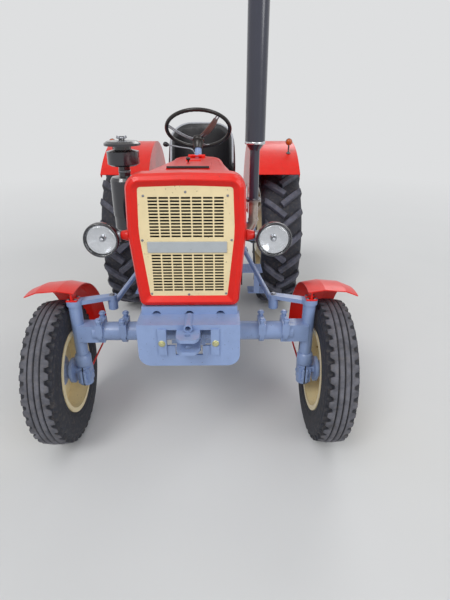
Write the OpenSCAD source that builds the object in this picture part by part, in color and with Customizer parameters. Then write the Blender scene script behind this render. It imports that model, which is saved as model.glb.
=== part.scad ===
/* [Layout] */
// Distance between the front and rear axles
wheelbase = 1780; // [1700:10:1900]
// Reach of the tow jaw ahead of the front axle
nose_reach = 390; // [382:2:440]
// Reach of the lower links behind the rear axle
tail_reach = 900; // [860:10:960]

/* [Front wheels] */
// Radius of the front tyre over its ribs
front_tyre_r = 372; // [350:2:380]
// Width of the front tyre
front_tyre_w = 160; // [140:5:170]
// Radius of the front rim's bead seat
front_bead_r = 203; // [190:1:210]
// Distance of each front wheel's middle from the centre line
front_wheel_x = 688; // [680:2:720]
// Lean of the front wheels, tops outwards
camber = 2; // [0:0.5:3]

/* [Rear wheels] */
// Radius of the rear tyre over its lugs
rear_tyre_r = 620; // [590:5:650]
// Width of the rear tyre
rear_tyre_w = 300; // [260:10:320]
// Radius of the rear rim's bead seat
rear_bead_r = 356; // [340:2:370]
// Distance of each rear wheel's middle from the centre line
rear_wheel_x = 610; // [600:5:660]

// Number of lugs on each side of a rear tyre
rear_lugs = 22; // [18:1:24]
// Height of a rear tyre's lugs
rear_lug_h = 34; // [24:1:40]
// Width of a rear tyre's lug
rear_lug_w = 42; // [34:1:50]

/* [Front axle] */
// Radius of the axle beam's tube
beam_r = 47; // [40:1:52]
// Height of the beam's middle
beam_z = 607; // [595:1:620]
// Distance of each kingpin from the centre line
kingpin_x = 577; // [565:1:580]
// Radius of the kingpin
kingpin_r = 20; // [16:1:22]
// Radius of the sleeve round the kingpin
sleeve_r = 31; // [28:1:32]
// Top of the kingpin sleeve
sleeve_top_z = 755; // [740:1:760]
// Reach of the steering arm inwards from its kingpin
arm_in = 170; // [160:2:180]
// Reach of the steering arm rearwards from its kingpin
arm_back = 70; // [60:2:80]

/* [Nose] */
// Height of the mask's top
mask_top_z = 1409; // [1390:1:1420]
// Height of the mask's bottom edge
mask_bottom_z = 834; // [828:1:845]
// Half width of the mask at its widest
mask_half_w = 248; // [240:1:255]
// Depth of the mask from front to back
mask_depth = 95; // [80:5:110]
// Width of the red frame round the grille
mask_frame_w = 46; // [40:1:52]
// Thickness of the grille plate
grille_t = 6; // [4:1:8]
// Columns of slots in the grille
grille_columns = 7; // [5:2:7]
// Rows of slots in each half of the grille
grille_rows = 13; // [9:1:13]
// Height of a grille slot
grille_slot_h = 7.5; // [5:0.5:9]
// Distance of each headlamp from the centre line
lamp_x = 368; // [355:1:380]
// Height of the headlamps
lamp_z = 1125; // [1100:1:1150]
// Radius of a headlamp's rim
lamp_r = 75; // [65:1:82]

/* [Hood] */
// Length of the hood
hood_len = 900; // [850:10:920]
// Thickness of the hood's panel
hood_t = 5; // [4:1:8]
// Half width of the hood behind the mask
hood_front_half_w = 230; // [222:1:234]
// Half width of the hood at the dash
hood_rear_half_w = 172; // [165:1:180]
// Height of the hood's top at the dash
hood_rear_z = 1350; // [1340:1:1365]
// Height of the hood's lower edge
hood_skirt_z = 1105; // [1090:5:1130]
// Width of the hatch
hatch_w = 190; // [170:5:200]
// Length of the hatch
hatch_len = 420; // [380:10:440]

/* [Engine and gearbox] */
// Half width of the crankcase
case_half_w = 165; // [150:5:180]
// Height of the oil sump's floor
sump_z = 425; // [410:5:450]
// Length of the engine block
engine_len = 550; // [520:10:560]
// Half width of the gearbox
gearbox_half_w = 150; // [130:5:170]
// Radius of the rear axle's trumpet
trumpet_r = 78; // [70:2:85]

/* [Exhaust and air cleaner] */
// Distance of the exhaust pipe from the centre line
pipe_x = 310; // [305:1:325]
// Radius of the exhaust pipe
pipe_r = 24; // [20:1:27]
// Radius of the muffler
muffler_r = 48; // [42:1:52]
// Height of the muffler's lower end
muffler_z = 1478; // [1450:2:1500]
// Height of the muffler's upper end
muffler_top_z = 2120; // [2000:10:2140]
// Height of the exhaust's top
exhaust_top_z = 2200; // [2180:10:2300]
// Distance of the air cleaner from the centre line
cleaner_x = 314; // [310:1:325]
// Radius of the air cleaner's canister
cleaner_r = 70; // [60:1:74]

/* [Driver's place] */
// Radius of the steering wheel's rim, to its middle
wheel_rim_r = 205; // [190:5:215]
// Radius of the steering wheel's grip
wheel_grip_r = 12; // [10:1:14]
// Lean of the steering column
column_lean = 36; // [30:1:40]
// Radius of the steering column
column_r = 22; // [20:1:26]
// Half width of the seat
seat_half_w = 262; // [240:2:270]
// Height of the seat back's top
seat_top_z = 1510; // [1480:5:1530]

/* [Rear fenders] */
// Clear height between the rear tyre and its fender
fender_room = 125; // [115:1:145]
// Distance of the fender's inner panel from the centre line
fender_in_x = 370; // [360:1:380]
// Distance of the fender's outer edge from the centre line
fender_out_x = 715; // [700:1:730]
// Thickness of the fender's sheet
fender_t = 5; // [4:1:8]

/* [Hitch] */
// Radius of the bores for hitch pins
hitch_bore_r = 11; // [9:0.5:14]
// Radius of the tow pin's bore
tow_bore_r = 13; // [10:0.5:15]
// Length of the lift arms
lift_arm_len = 250; // [230:5:270]

/* [Hidden] */

$fn = 64;

// Gap left where two pieces seat on each other
seat_gap = 0.3;
// Radial play of a shaft in its bore
play = 0.05;
// Clear space kept round what moves
clear = 6;

// Colours of the finishes
red = [0.83, 0.13, 0.07];
cream = [0.93, 0.86, 0.62];
blue_grey = [0.55, 0.61, 0.70];
black = [0.07, 0.07, 0.08];
rubber = [0.10, 0.10, 0.10];
amber = [0.95, 0.55, 0.10];
steel = [0.72, 0.73, 0.75];
vinyl = [0.09, 0.09, 0.10];

front_axle_y = -(wheelbase + tail_reach - nose_reach) / 2;
rear_axle_y = front_axle_y + wheelbase;

// Front tyre section, its ribs counted from the middle
front_rib_from = 4;
front_rib_to = 23;
front_groove_w = 8;
front_groove_d = 9;
front_hub_z = front_tyre_r * cos(camber) + front_rib_to * sin(camber);
front_barrel_t = 6;
front_bead_half = front_tyre_w / 2 - 14;
front_flange_h = 14;
lug_angle = 40;
lug_mid = rear_tyre_w / 4 - 5;
rear_bead_half = rear_tyre_w / 2 - 18;
rear_flange_h = 16;

// Kingpin stack
sleeve_bottom_z = 490;
knuckle_top_z = sleeve_bottom_z - seat_gap;
knuckle_bottom_z = 300;
barrel_r = 36;
stay_z = 325;
arm_z = sleeve_top_z + seat_gap;
arm_t = 26;

// Nose
mask_y = front_axle_y - 200;
mask_back_y = mask_y + mask_depth;
mask_round = 26;
mask_sheet_t = 8;
mask_wide_z = 1170;
mask_foot_half_w = mask_half_w - 30;
grille_y = mask_y + 16;
support_top_z = mask_bottom_z - seat_gap;
support_plate_t = 36;
engine_y = front_axle_y + 150;
engine_back_y = engine_y + engine_len;
hood_y = mask_back_y + 8;
hood_back_y = hood_y + hood_len;
hood_front_z = mask_top_z - 6;
crown_half = 70;
hinge_y = hood_back_y + 4;
hinge_z = hood_rear_z + 10;
hinge_pin_r = 5;
// Set-back of the hood's lower front corner, which keeps its swing behind the mask
hood_swing_r = hinge_y - mask_back_y - clear;
hood_set_back = hinge_y - hood_y - sqrt(pow(hood_swing_r, 2) - pow(hinge_z - hood_skirt_z, 2));
// Height from which the hood's front edge slants back
hood_slant_z = hinge_z - 60;
hatch_y = front_axle_y + 10;
hatch_t = 4;
hatch_pin_r = 2;
hatch_tube_half = 30;
hatch_hinge_y = hatch_y + hatch_len + 9;
hatch_hinge_z = hood_front_z - (hood_front_z - hood_rear_z) * (hatch_hinge_y - hood_y) / hood_len + 5.8;

// Driver's place
dash_y = hood_back_y + 10;
dash_t = 62;
column_top = [0, front_axle_y + 1035, 1412];
steering_box_y = front_axle_y + 790;
steering_box_top_z = 1035;
drop_shaft_z = 985;
drop_arm_len = 215;
drop_arm_x = 258;
drop_arm_t = 22;
link_end_x = drop_arm_x + drop_arm_t / 2 + 14;
seat_y = front_axle_y + 1640;
seat_z = 1095;
seat_wall = 50;
seat_mid_y = seat_y + 10;

// Rear
hub_face_x = 450;
half_shaft_r = 34;
lift_shaft_y = rear_axle_y + 120;
lift_shaft_z = 885;
lift_shaft_r = 24;
lift_arm_x = 178;
lift_arm_t = 22;
head_half_w = 125;
fan_z = 1020;
gearbox_top_z = 820;
lower_pivot = [rear_axle_y + 110, 425];
lower_link_x = 225;
lower_link_t = 20;
link_eye_r = 26;
rod_on_link = 430;
rod_pin_r = 10;
rod_x = lift_arm_x + lift_arm_t / 2 + 4;
fender_top_z = 2 * rear_tyre_r + fender_room;
fender_centre = [rear_axle_y - 20, rear_tyre_r - 20];

// Box between two corners
module slab(lo, hi) translate(lo) cube(hi - lo);

// Round bars along the three axes, from a start point
module bar_x(p, r, l) translate(p) rotate([0, 90, 0]) cylinder(r = r, h = l);
module bar_y(p, r, l) translate(p) rotate([-90, 0, 0]) cylinder(r = r, h = l);
module bar_z(p, r, l) translate(p) cylinder(r = r, h = l);

// Round bar between two points
module bar(a, b, r) {
    d = b - a;
    l = norm(d);
    translate(a) rotate([0, acos(d[2] / l), atan2(d[1], d[0])]) cylinder(r = r, h = l);
}

// The same piece on the left and on the right
module both_sides() {
    children();
    mirror([1, 0, 0]) children();
}
module on_side(s) {
    if (s > 0) children();
    else mirror([1, 0, 0]) children();
}

// Rectangle with round corners, centred
module round_rect(w, h, r) {
    square([w - 2 * r, h], center = true);
    square([w, h - 2 * r], center = true);
    for (sx = [-1, 1], sy = [-1, 1])
        translate([sx * (w / 2 - r), sy * (h / 2 - r)]) circle(r);
}

// Points of an arc
function arc(c, r, a0, a1, n) =
    [for (i = [0:n]) let (a = a0 + (a1 - a0) * i / n) c + r * [cos(a), sin(a)]];

// Corner of an outline, rounded between its two straight neighbours
function fillet(p, q, s, r, n) =
    let (u = (p - q) / norm(p - q), v = (s - q) / norm(s - q),
         half = acos(u * v) / 2, m = (u + v) / norm(u + v),
         c = q + m * r / sin(half), t0 = q + u * r / tan(half) - c, t1 = q + v * r / tan(half) - c,
         a0 = atan2(t0[1], t0[0]), d = atan2(t1[1], t1[0]) - a0,
         turn = d > 180 ? d - 360 : (d < -180 ? d + 360 : d))
    [for (i = [0:n]) c + r * [cos(a0 + turn * i / n), sin(a0 + turn * i / n)]];

// Outline from a table of corners, each [x, z, radius], a wide one in fewer steps
function rounded(corners) =
    let (k = len(corners))
    [for (i = [0:k - 1])
        let (p = corners[(i + k - 1) % k], q = corners[i], s = corners[(i + 1) % k])
        each (q[2] > 0
            ? fillet([p[0], p[1]], [q[0], q[1]], [s[0], s[1]], q[2], q[2] > 200 ? 1 : 6)
            : [[q[0], q[1]]])];

// Upright panel with its outline in x and z, from y to y + t
module upright(y, t) translate([0, y + t, 0]) rotate([90, 0, 0]) linear_extrude(t) children();

// Turned piece about the x axis, its profile in [radius, along]
module turned_x() rotate([0, 90, 0]) rotate_extrude($fn = 96) children();

// Plate lying in y and z, from x to x + t
module side_plate(x, t) translate([x, 0, 0]) rotate([90, 0, 90]) linear_extrude(t) children();

// Place of a front wheel, leaning with the camber, left side
module at_front_wheel() translate([front_wheel_x, front_axle_y, front_hub_z])
    rotate([0, camber, 0]) children();

// Place of a rear wheel, left side
module at_rear_wheel() translate([rear_wheel_x, rear_axle_y, rear_tyre_r]) children();

// Front wheels

// Closed ring about the x axis with n flat faces round it, its outline a table of [radius, along]
module faceted_x(rows, n) {
    k = len(rows);
    rotate([0, 90, 0]) polyhedron(
        points = [for (i = [0:n - 1], row = rows)
            [row[0] * cos(360 * i / n), row[0] * sin(360 * i / n), row[1]]],
        faces = [for (i = [0:n - 1], j = [0:k - 1]) [i * k + j, i * k + (j + 1) % k,
            ((i + 1) % n) * k + (j + 1) % k, ((i + 1) % n) * k + j]]);
}

// Outline of a whole tyre from the table of its half, bead first, widest part minus
function both_halves(rows) = concat([for (row = rows) [row[0], -row[1]]],
    [for (i = [len(rows) - 1:-1:0]) rows[i]]);

// Rows of a half tyre where it sits in its rim, clear of it on its n flat faces
function bead_rows(bead_r, flange_r, bead_half, n) = [
    [(bead_r + seat_gap) / cos(180 / n), bead_half - seat_gap],
    [(flange_r + seat_gap) / cos(180 / n), bead_half - seat_gap]];

module front_tyre() color(rubber) at_front_wheel() {
    r = front_tyre_r;
    half = front_tyre_w / 2;
    floor_r = r - front_groove_d;
    outer = front_rib_to + front_groove_w;
    lip = front_bead_r + front_flange_h;
    sides = 36;
    faceted_x(both_halves(concat(bead_rows(front_bead_r, lip, front_bead_half, sides), [
        [(lip + seat_gap) / cos(180 / sides), half - 10], [r - 80, half], [r - 34, half - 7],
        [r - 8, half - 20], [r - 2, outer], [floor_r, outer], [floor_r, front_rib_to],
        [r, front_rib_to], [r, front_rib_from], [floor_r, front_rib_from]])), sides);
}

module front_rim() color(cream) at_front_wheel() turned_x() {
    half = front_bead_half;
    seat = front_bead_r;
    lip = seat + front_flange_h;
    well = front_bead_r - front_barrel_t;
    // radius, along
    polygon([[52, 8], [122, 8], [well, 28], [well, -half], [well - 4, -half - 6], [lip, -half - 6],
        [lip, -half], [seat, -half], [seat, half], [lip, half], [lip, half + 6],
        [well - 4, half + 6], [well, half], [well, 35], [120, 14], [52, 14]]);
}

module front_hub() color(blue_grey) at_front_wheel() turned_x() difference() {
    union() {
        translate([0, -60]) square([44, 98]);
        translate([0, -62]) square([66, 16]);
        translate([0, 0]) square([80, 8 - seat_gap]);
        translate([0, 30]) square([30, 24]);
    }
    translate([-1, -70]) square([kingpin_r + play + 1, 90]);
}

// Rear wheels

// Point of a lug's side outline, at a distance along the axle and a radius
function lug_point(x, r) = let (u = (x - lug_mid) / cos(lug_angle))
    [u, sqrt(pow(r, 2) - pow(u * sin(lug_angle), 2))];
module rear_lug() {
    inner = -12;
    outer = rear_tyre_w / 2 - rear_lug_w / 2 * sin(lug_angle);
    // along the axle, radius
    rows = [[inner, rear_tyre_r], [outer - 46, rear_tyre_r - 3], [outer - 10, rear_tyre_r - 14],
        [outer, rear_tyre_r - 44], [outer, rear_tyre_r - 96], [inner, rear_tyre_r - rear_lug_h - 40]];
    translate([lug_mid, 0, 0]) rotate([0, 0, lug_angle]) rotate([90, 0, 0])
        translate([0, 0, -rear_lug_w / 2]) linear_extrude(rear_lug_w)
            polygon([for (row = rows) lug_point(row[0], row[1])]);
}
module rear_tyre() color(rubber) at_rear_wheel() {
    r = rear_tyre_r - rear_lug_h;
    half = rear_tyre_w / 2;
    lip = rear_bead_r + rear_flange_h;
    sides = 2 * rear_lugs;
    faceted_x(both_halves(concat(bead_rows(rear_bead_r, lip, rear_bead_half, sides), [
        [(lip + seat_gap) / cos(180 / sides), half - 10], [r - 116, half], [r - 56, half - 6],
        [r - 12, half - 40], [r, half - 90]])), sides);
    for (i = [0:rear_lugs - 1]) {
        rotate([360 * i / rear_lugs, 0, 0]) rear_lug();
        rotate([360 * (i + 0.5) / rear_lugs, 0, 0]) mirror([1, 0, 0]) rear_lug();
    }
}

module rear_rim() color(cream) at_rear_wheel() turned_x() {
    half = rear_bead_half;
    inner = hub_face_x - rear_wheel_x;
    seat = rear_bead_r;
    lip = seat + rear_flange_h;
    well = rear_bead_r - 8;
    // radius, along
    polygon([[0, inner - 66], [half_shaft_r, inner - 66], [half_shaft_r, inner], [176, inner],
        [well, -22], [well, -half], [well - 4, -half - 8],
        [lip, -half - 8], [lip, -half], [seat, -half], [seat, half], [lip, half],
        [lip, half + 8], [well - 4, half + 8], [well, half], [well, -12], [170, inner + 12],
        [110, inner + 12], [70, inner + 70], [0, inner + 70]]);
}

// Steering knuckles

module knuckle() color(blue_grey) {
    kp = [kingpin_x, front_axle_y, 0];
    bar_z(kp + [0, 0, knuckle_bottom_z], kingpin_r, arm_z + arm_t - knuckle_bottom_z);
    bar_z(kp + [0, 0, knuckle_bottom_z], barrel_r, 110);
    bar_z(kp + [0, 0, 410], 31, knuckle_top_z - 410);
    difference() {
        slab(kp + [-34, -34, knuckle_bottom_z + 12], kp + [32, 34, 400]);
        bar_z(kp + [0, 0, knuckle_bottom_z], 30, 5);
    }
    at_front_wheel() bar_x([kingpin_x + 10 - front_wheel_x, 0, 0], kingpin_r,
        front_wheel_x - kingpin_x + 8);
    steering_arm(kp);
}

module steering_arm(kp) {
    bar_z(kp + [0, 0, arm_z], 38, arm_t);
    translate(kp + [0, 0, arm_z]) linear_extrude(arm_t - 6)
        polygon([[10, -26], [10, 30], [-arm_in + 6, arm_back + 20], [-arm_in - 4, arm_back - 20]]);
    bar_z(kp + [-arm_in, arm_back, arm_z - 8], 22, arm_t + 2);
}

module front_mudguard() color(red) {
    rear_edge = 100;
    front_edge = -5;
    r = front_tyre_r + 84;
    translate([front_wheel_x, front_axle_y, front_hub_z]) rotate([0, 90, 0])
        rotate_extrude(angle = rear_edge - front_edge, start = 180 - rear_edge)
            // radius, along from the wheel's middle
            polygon([[r, -128], [r + 4, -128], [r + 18, -48], [r + 10, 52], [r - 14, 112],
                [r - 19, 112], [r + 5, 50], [r + 13, -48]]);
    slab([kingpin_x - 22, front_axle_y - 30, arm_z + arm_t],
        [kingpin_x + 30, front_axle_y + 30, arm_z + arm_t + 8]);
    slab([kingpin_x - 2, front_axle_y - 30, arm_z + arm_t],
        [kingpin_x + 6, front_axle_y + 30, front_hub_z + r + 3]);
    bar_y([kingpin_x, front_axle_y + barrel_r + seat_gap, stay_z], 5,
        sqrt(pow(r + 4, 2) - pow(front_hub_z - stay_z, 2)) - barrel_r);
}

// Front axle

module axle_beam() color(blue_grey) {
    clamp_w = 22;
    difference() {
        union() {
            bar_x([-500, front_axle_y, beam_z], beam_r, 1000);
            slab([-62, front_axle_y - 52, beam_z - 55], [62, front_axle_y + 52, beam_z + 50]);
            both_sides() {
                slab([440, front_axle_y - 38, beam_z - 46], [kingpin_x, front_axle_y + 38, beam_z + 45]);
                bar_z([kingpin_x, front_axle_y, sleeve_bottom_z], sleeve_r,
                    sleeve_top_z - sleeve_bottom_z);
                for (x = [332, 450]) {
                    bar_x([x, front_axle_y, beam_z], beam_r + 9, clamp_w);
                    slab([x - 6, front_axle_y - beam_r - 9, beam_z],
                        [x + clamp_w + 6, front_axle_y + beam_r + 9, beam_z + beam_r + 12]);
                    for (s = [-1, 1]) bar_z([x + clamp_w / 2, front_axle_y + s * (beam_r - 4), beam_z],
                        12, beam_r + 34);
                }
            }
        }
        both_sides() bar_z([kingpin_x, front_axle_y, sleeve_bottom_z - 1], kingpin_r + play,
            sleeve_top_z - sleeve_bottom_z + 2);
    }
}

module front_support() color(blue_grey) {
    difference() {
        slab([-213, mask_y + 5, support_top_z - support_plate_t],
            [213, engine_y - 20, support_top_z]);
        for (x = [-147, 0, 138]) bar_y([x, mask_y, support_top_z - support_plate_t - 4], 20, 80);
    }
    difference() {
        slab([-115, front_axle_y - 150, 665], [115, engine_y, support_top_z - support_plate_t]);
        slab([-88, front_axle_y + 82, 660], [88, engine_y + 1, 790]);
    }
    for (y = [-80, 52]) slab([-62, front_axle_y + y, 575], [62, front_axle_y + y + 28, 665]);
}

// Tow bracket

bumper_y = front_axle_y - 300;
bumper_t = 12;
module tow_bracket() color(blue_grey) {
    tube_r = 18;
    tube_z = 774.5 + tube_r;
    difference() {
        upright(bumper_y, bumper_t) polygon(rounded([[-222, 786, 0], [222, 786, 0],
            [222, 594, 53], [-222, 594, 53]]));
        slab([-95, bumper_y - 1, 694], [95, bumper_y + bumper_t + 1, 774]);
        slab([-59, bumper_y - 1, 648], [59, bumper_y + bumper_t + 1, 700]);
    }
    for (s = [-1, 1]) upright(bumper_y - 8, 8) translate([s * 114, 716])
        square([36, 126], center = true);
    difference() {
        union() {
            slab([-222, bumper_y, 786], [222, mask_y + 40, support_top_z - support_plate_t]);
            bar_y([0, bumper_y - 25, tube_z], tube_r, 115);
        }
        bar_y([0, bumper_y - 26, tube_z], tube_r - 6, 60);
    }
    both_sides() slab([190, bumper_y + bumper_t, 650], [202, mask_y + 40, 786]);
}

module tow_jaw() color(blue_grey) {
    hole_y = front_axle_y - nose_reach + 42;
    difference() {
        union() {
            for (z = [702, 759]) {
                slab([-50, hole_y, z], [50, front_axle_y - 150, z + 15]);
                intersection() {
                    bar_z([0, hole_y, z], 50, 15);
                    slab([-50, front_axle_y - nose_reach, z], [50, hole_y + 60, z + 15]);
                }
            }
            slab([-50, bumper_y + bumper_t + 6, 660], [50, front_axle_y - 150, 774]);
        }
        bar_z([0, hole_y, 700], tow_bore_r, 80);
    }
}

// Nose

mask_corners = [
    // x, z, corner radius
    [-mask_foot_half_w, mask_bottom_z, 30], [mask_foot_half_w, mask_bottom_z, 30],
    [mask_half_w, mask_wide_z, 400],
    [240, mask_top_z - 6, 62], [0, mask_top_z, 900], [-240, mask_top_z - 6, 62],
    [-mask_half_w, mask_wide_z, 400]
];
function inset(corners, d) =
    [for (c = corners)
        [c[0] - sign(c[0]) * d, c[1] + (c[1] < 1000 ? d : (c[1] > 1300 ? -d : 0)),
            max(c[2] - d, 8)]];

module mask_slice(y, d) upright(y, 0.5) polygon(rounded(inset(mask_corners, d)));
module mask() color(red) difference() {
    union() {
        upright(mask_y + mask_round, mask_depth - mask_round) polygon(rounded(mask_corners));
        hull() {
            mask_slice(mask_y + mask_round, 0);
            mask_slice(mask_y + 8, 8);
        }
        hull() {
            mask_slice(mask_y + 8, 8);
            mask_slice(mask_y, 22);
        }
    }
    hull() {
        mask_slice(mask_y - 2, 24);
        mask_slice(grille_y, mask_frame_w + 4);
    }
    upright(grille_y, mask_depth)
        polygon(rounded(inset(mask_corners, mask_frame_w - 16)));
    upright(mask_y + 45, mask_depth) polygon(rounded(inset(mask_corners, mask_sheet_t)));
}

module grille() color(cream) upright(grille_y + seat_gap, grille_t) difference() {
    pitch_x = 44.5;
    pitch_z = 13.2;
    polygon(rounded(inset(mask_corners, mask_frame_w - 16 + seat_gap)));
    for (top = [mask_top_z - 98, mask_top_z - 340], row = [0:grille_rows - 1],
            column = [0:grille_columns - 1])
        translate([(column - (grille_columns - 1) / 2) * pitch_x, top - row * pitch_z])
            square([38, grille_slot_h], center = true);
}

module radiator() color(black) {
    tank_z = mask_top_z - 119;
    slab([-185, mask_back_y + 10, support_top_z + seat_gap], [185, mask_back_y + 75, tank_z]);
    upright(mask_back_y + 5, 80) polygon(rounded([[-175, tank_z, 0], [175, tank_z, 0],
        [175, tank_z + 60, 25], [-175, tank_z + 60, 25]]));
    bar_z([0, mask_back_y + 50, tank_z + 60], 32, 12);
}

// Half width of the mask at a height, read off its rounded outline
function outline_x(points, z) = max([for (i = [0:len(points) - 1])
    let (p = points[i], q = points[(i + 1) % len(points)])
    if (p[0] > 0 && q[0] > 0 && p[1] != q[1] && min(p[1], q[1]) <= z && z <= max(p[1], q[1]))
        p[0] + (q[0] - p[0]) * (z - p[1]) / (q[1] - p[1])]);

module headlamps() both_sides() color(black) {
    lamp_y = front_axle_y - 150;
    stub_z = lamp_z + 15;
    stub_r = 13;
    stub_x = outline_x(rounded(mask_corners), stub_z + 22) + seat_gap;
    translate([lamp_x, lamp_y, lamp_z]) rotate([-90, 0, 0]) rotate_extrude($fn = 96)
        // radius, back from the glass
        polygon([[0, 26], [30, 20], [lamp_r - 9, 4], [lamp_r - 9, 0], [lamp_r - 3, 0], [lamp_r, 4],
            [lamp_r, 22], [lamp_r - 6, 40], [lamp_r - 20, 64], [lamp_r - 42, 82], [0, 92]]);
    translate([stub_x, lamp_y + 30, stub_z]) rotate([0, 90, 0]) rotate_extrude()
        polygon([[0, 0], [22, 0], [22, 6], [stub_r + 2, 34], [stub_r, 36],
            [stub_r, lamp_x - 50 - stub_x], [0, lamp_x - 50 - stub_x]]);
}

// Hood and hatch, each section's table is [x, z, corner radius]

function hood_section(half_w, top, low, d) = [
    [-half_w + d, low, 0], [-half_w + 10 + d, top - 14 - d, 62 - d], [-crown_half, top - d, 300],
    [crown_half, top - d, 300], [half_w - 10 - d, top - 14 - d, 62 - d], [half_w - d, low, 0]
];
module hood_form(d, extra) hull() {
    upright(hood_y - extra, 0.5)
        polygon(rounded(hood_section(hood_front_half_w, hood_front_z, hood_skirt_z - extra, d)));
    upright(hood_back_y - 0.5 + extra, 0.5)
        polygon(rounded(hood_section(hood_rear_half_w, hood_rear_z, hood_skirt_z - extra, d)));
}
module hatch_space(inset) slab([-hatch_w / 2 + inset, hatch_y + inset, hood_rear_z - 60],
    [hatch_w / 2 - inset, hatch_y + hatch_len - inset, hood_front_z + 40]);
// One side's hinge leaf, from x0 to x1, reaching from the hinge to the panel
module hinge_leaf(x0, x1, reach) {
    bar_x([x0, hinge_y, hinge_z], 9, x1 - x0);
    slab([x0, min(hinge_y, hinge_y + reach), hinge_z - 14],
        [x1, max(hinge_y, hinge_y + reach), hinge_z + 2]);
}
module hood() color(red) {
    difference() {
        hood_form(0, 0);
        hood_form(hood_t, 1);
        hatch_space(12);
        side_plate(-hood_front_half_w - 10, 2 * hood_front_half_w + 20) polygon([
            [hood_y - 2, hood_skirt_z - 5], [hood_y + hood_set_back + 1, hood_skirt_z - 5],
            [hood_y, hood_slant_z], [hood_y - 2, hood_slant_z]]);
    }
    both_sides() bar_x([hatch_tube_half + seat_gap, hatch_hinge_y, hatch_hinge_z], 7, 10);
    bar_x([-hatch_tube_half - 5, hatch_hinge_y, hatch_hinge_z], hatch_pin_r, 2 * hatch_tube_half + 10);
    both_sides() difference() {
        hinge_leaf(30, 50, -24);
        bar_x([29, hinge_y, hinge_z], hinge_pin_r + play, 22);
    }
}
module hatch() color(red) difference() {
    union() {
        intersection() {
            difference() {
                hood_form(-hatch_t - seat_gap, 0);
                hood_form(-seat_gap, 1);
            }
            hatch_space(0);
        }
        bar_x([-hatch_tube_half, hatch_hinge_y, hatch_hinge_z], 5, 2 * hatch_tube_half);
        slab([-hatch_tube_half, hatch_hinge_y - 12, hatch_hinge_z - 4.4],
            [hatch_tube_half, hatch_hinge_y, hatch_hinge_z - 1.4]);
    }
    bar_x([-hatch_tube_half - 1, hatch_hinge_y, hatch_hinge_z], hatch_pin_r + play,
        2 * hatch_tube_half + 2);
}

// Engine and gearbox

module engine_block() color(blue_grey) {
    slab([-case_half_w, engine_y, 520], [case_half_w, engine_back_y, 800]);
    slab([-case_half_w + 30, engine_y + 30, sump_z], [case_half_w - 30, engine_back_y, 520]);
    slab([-case_half_w - 8, engine_y, 508], [case_half_w + 8, engine_back_y, 524]);
    slab([-130, engine_y + 30, 800], [130, engine_back_y - 60, 985]);
    both_sides() {
        for (y = [12, 164, 430]) slab([case_half_w, engine_y + y, 624],
            [case_half_w + 10, engine_y + y + 12, 790]);
        slab([130, engine_y + 30, 800], [138, engine_back_y - 60, 812]);
    }
    for (y = [60, 270]) side_plate(130, 8) polygon(rounded([[engine_y + y, 838, 20],
        [engine_y + y + 170, 838, 20], [engine_y + y + 170, 950, 20], [engine_y + y, 950, 20]]));
    upright(engine_y - 14, 14) polygon(rounded([[-84, 545, 30], [84, 545, 30], [84, 784, 40],
        [-84, 784, 40]]));
    translate([0, engine_y - 60, 640]) rotate([-90, 0, 0]) rotate_extrude()
        polygon([[0, 0], [70, 0], [70, 6], [58, 16], [70, 26], [70, 32], [30, 32], [30, 60], [0, 60]]);
}
module cylinder_head() color(blue_grey) {
    slab([-head_half_w, engine_y + 35, 985], [head_half_w, engine_back_y - 65, 1065]);
    for (y = [60, 270]) translate([0, engine_y + y + 90, 1065]) {
        linear_extrude(8) round_rect(156, 190, 20);
        linear_extrude(40) round_rect(136, 172, 26);
    }
    difference() {
        bar_y([0, engine_y - 8, fan_z], 34, 44);
        bar_y([0, engine_y - 9, fan_z], 12 + play, 38);
    }
}
module fuel_pump() color(blue_grey) {
    slab([case_half_w, engine_y + 180, 640], [case_half_w + 70, engine_y + 340, 760]);
    bar_y([case_half_w + 42, engine_y + 340, 690], 38, 62);
    for (y = [215, 300]) bar_z([case_half_w + 35, engine_y + y, 760], 16, 60);
}
module dynamo() color(blue_grey) {
    translate([-case_half_w - 62, engine_y - 16, 860]) rotate([-90, 0, 0]) rotate_extrude()
        polygon([[0, 0], [40, 0], [40, 5], [30, 13], [40, 21], [40, 26], [14, 26], [14, 40],
            [46, 40], [52, 48], [52, 214], [46, 226], [0, 226]]);
    slab([-case_half_w - 50, engine_y + 60, 700], [-case_half_w, engine_y + 160, 830]);
}
module starter() color(blue_grey) {
    translate([-case_half_w - 48, engine_back_y - 190, 560]) rotate([-90, 0, 0]) rotate_extrude()
        polygon([[0, 0], [40, 0], [48, 8], [48, 190], [0, 190]]);
}

// Quarter bend in a pipe, from running outwards along x to running up
module elbow(p, bend, r) translate([p[0] - bend, p[1], p[2] + bend]) rotate([90, 0, 0])
    rotate_extrude(angle = 90, start = 270) translate([bend, 0]) circle(r);

module exhaust() color(black) {
    y = front_axle_y + 300;
    bend = 65;
    run_z = 1035;
    flange_z = run_z + bend + 95;
    translate([pipe_x, y, 0]) rotate_extrude()
        // radius, height
        polygon([[0, run_z + bend], [pipe_r, run_z + bend], [pipe_r, flange_z], [pipe_r + 14, flange_z],
            [pipe_r + 14, flange_z + 14], [pipe_r, flange_z + 14], [pipe_r, muffler_z - 34],
            [muffler_r, muffler_z], [muffler_r, muffler_top_z], [pipe_r, muffler_top_z + 30],
            [pipe_r, exhaust_top_z], [pipe_r - 3, exhaust_top_z], [pipe_r - 3, exhaust_top_z - 40],
            [0, exhaust_top_z - 40]]);
    elbow([pipe_x, y, run_z], bend, pipe_r);
    bar_z([pipe_x, y, run_z + bend - 6], pipe_r + 4, 12);
    bar_x([pipe_x - bend - 6, y, run_z], pipe_r + 4, 12);
    bar_x([head_half_w + seat_gap, y, run_z], pipe_r, pipe_x - bend - head_half_w - seat_gap);
    bar_x([head_half_w + seat_gap, y, run_z], pipe_r + 6, 10);
}

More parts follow.
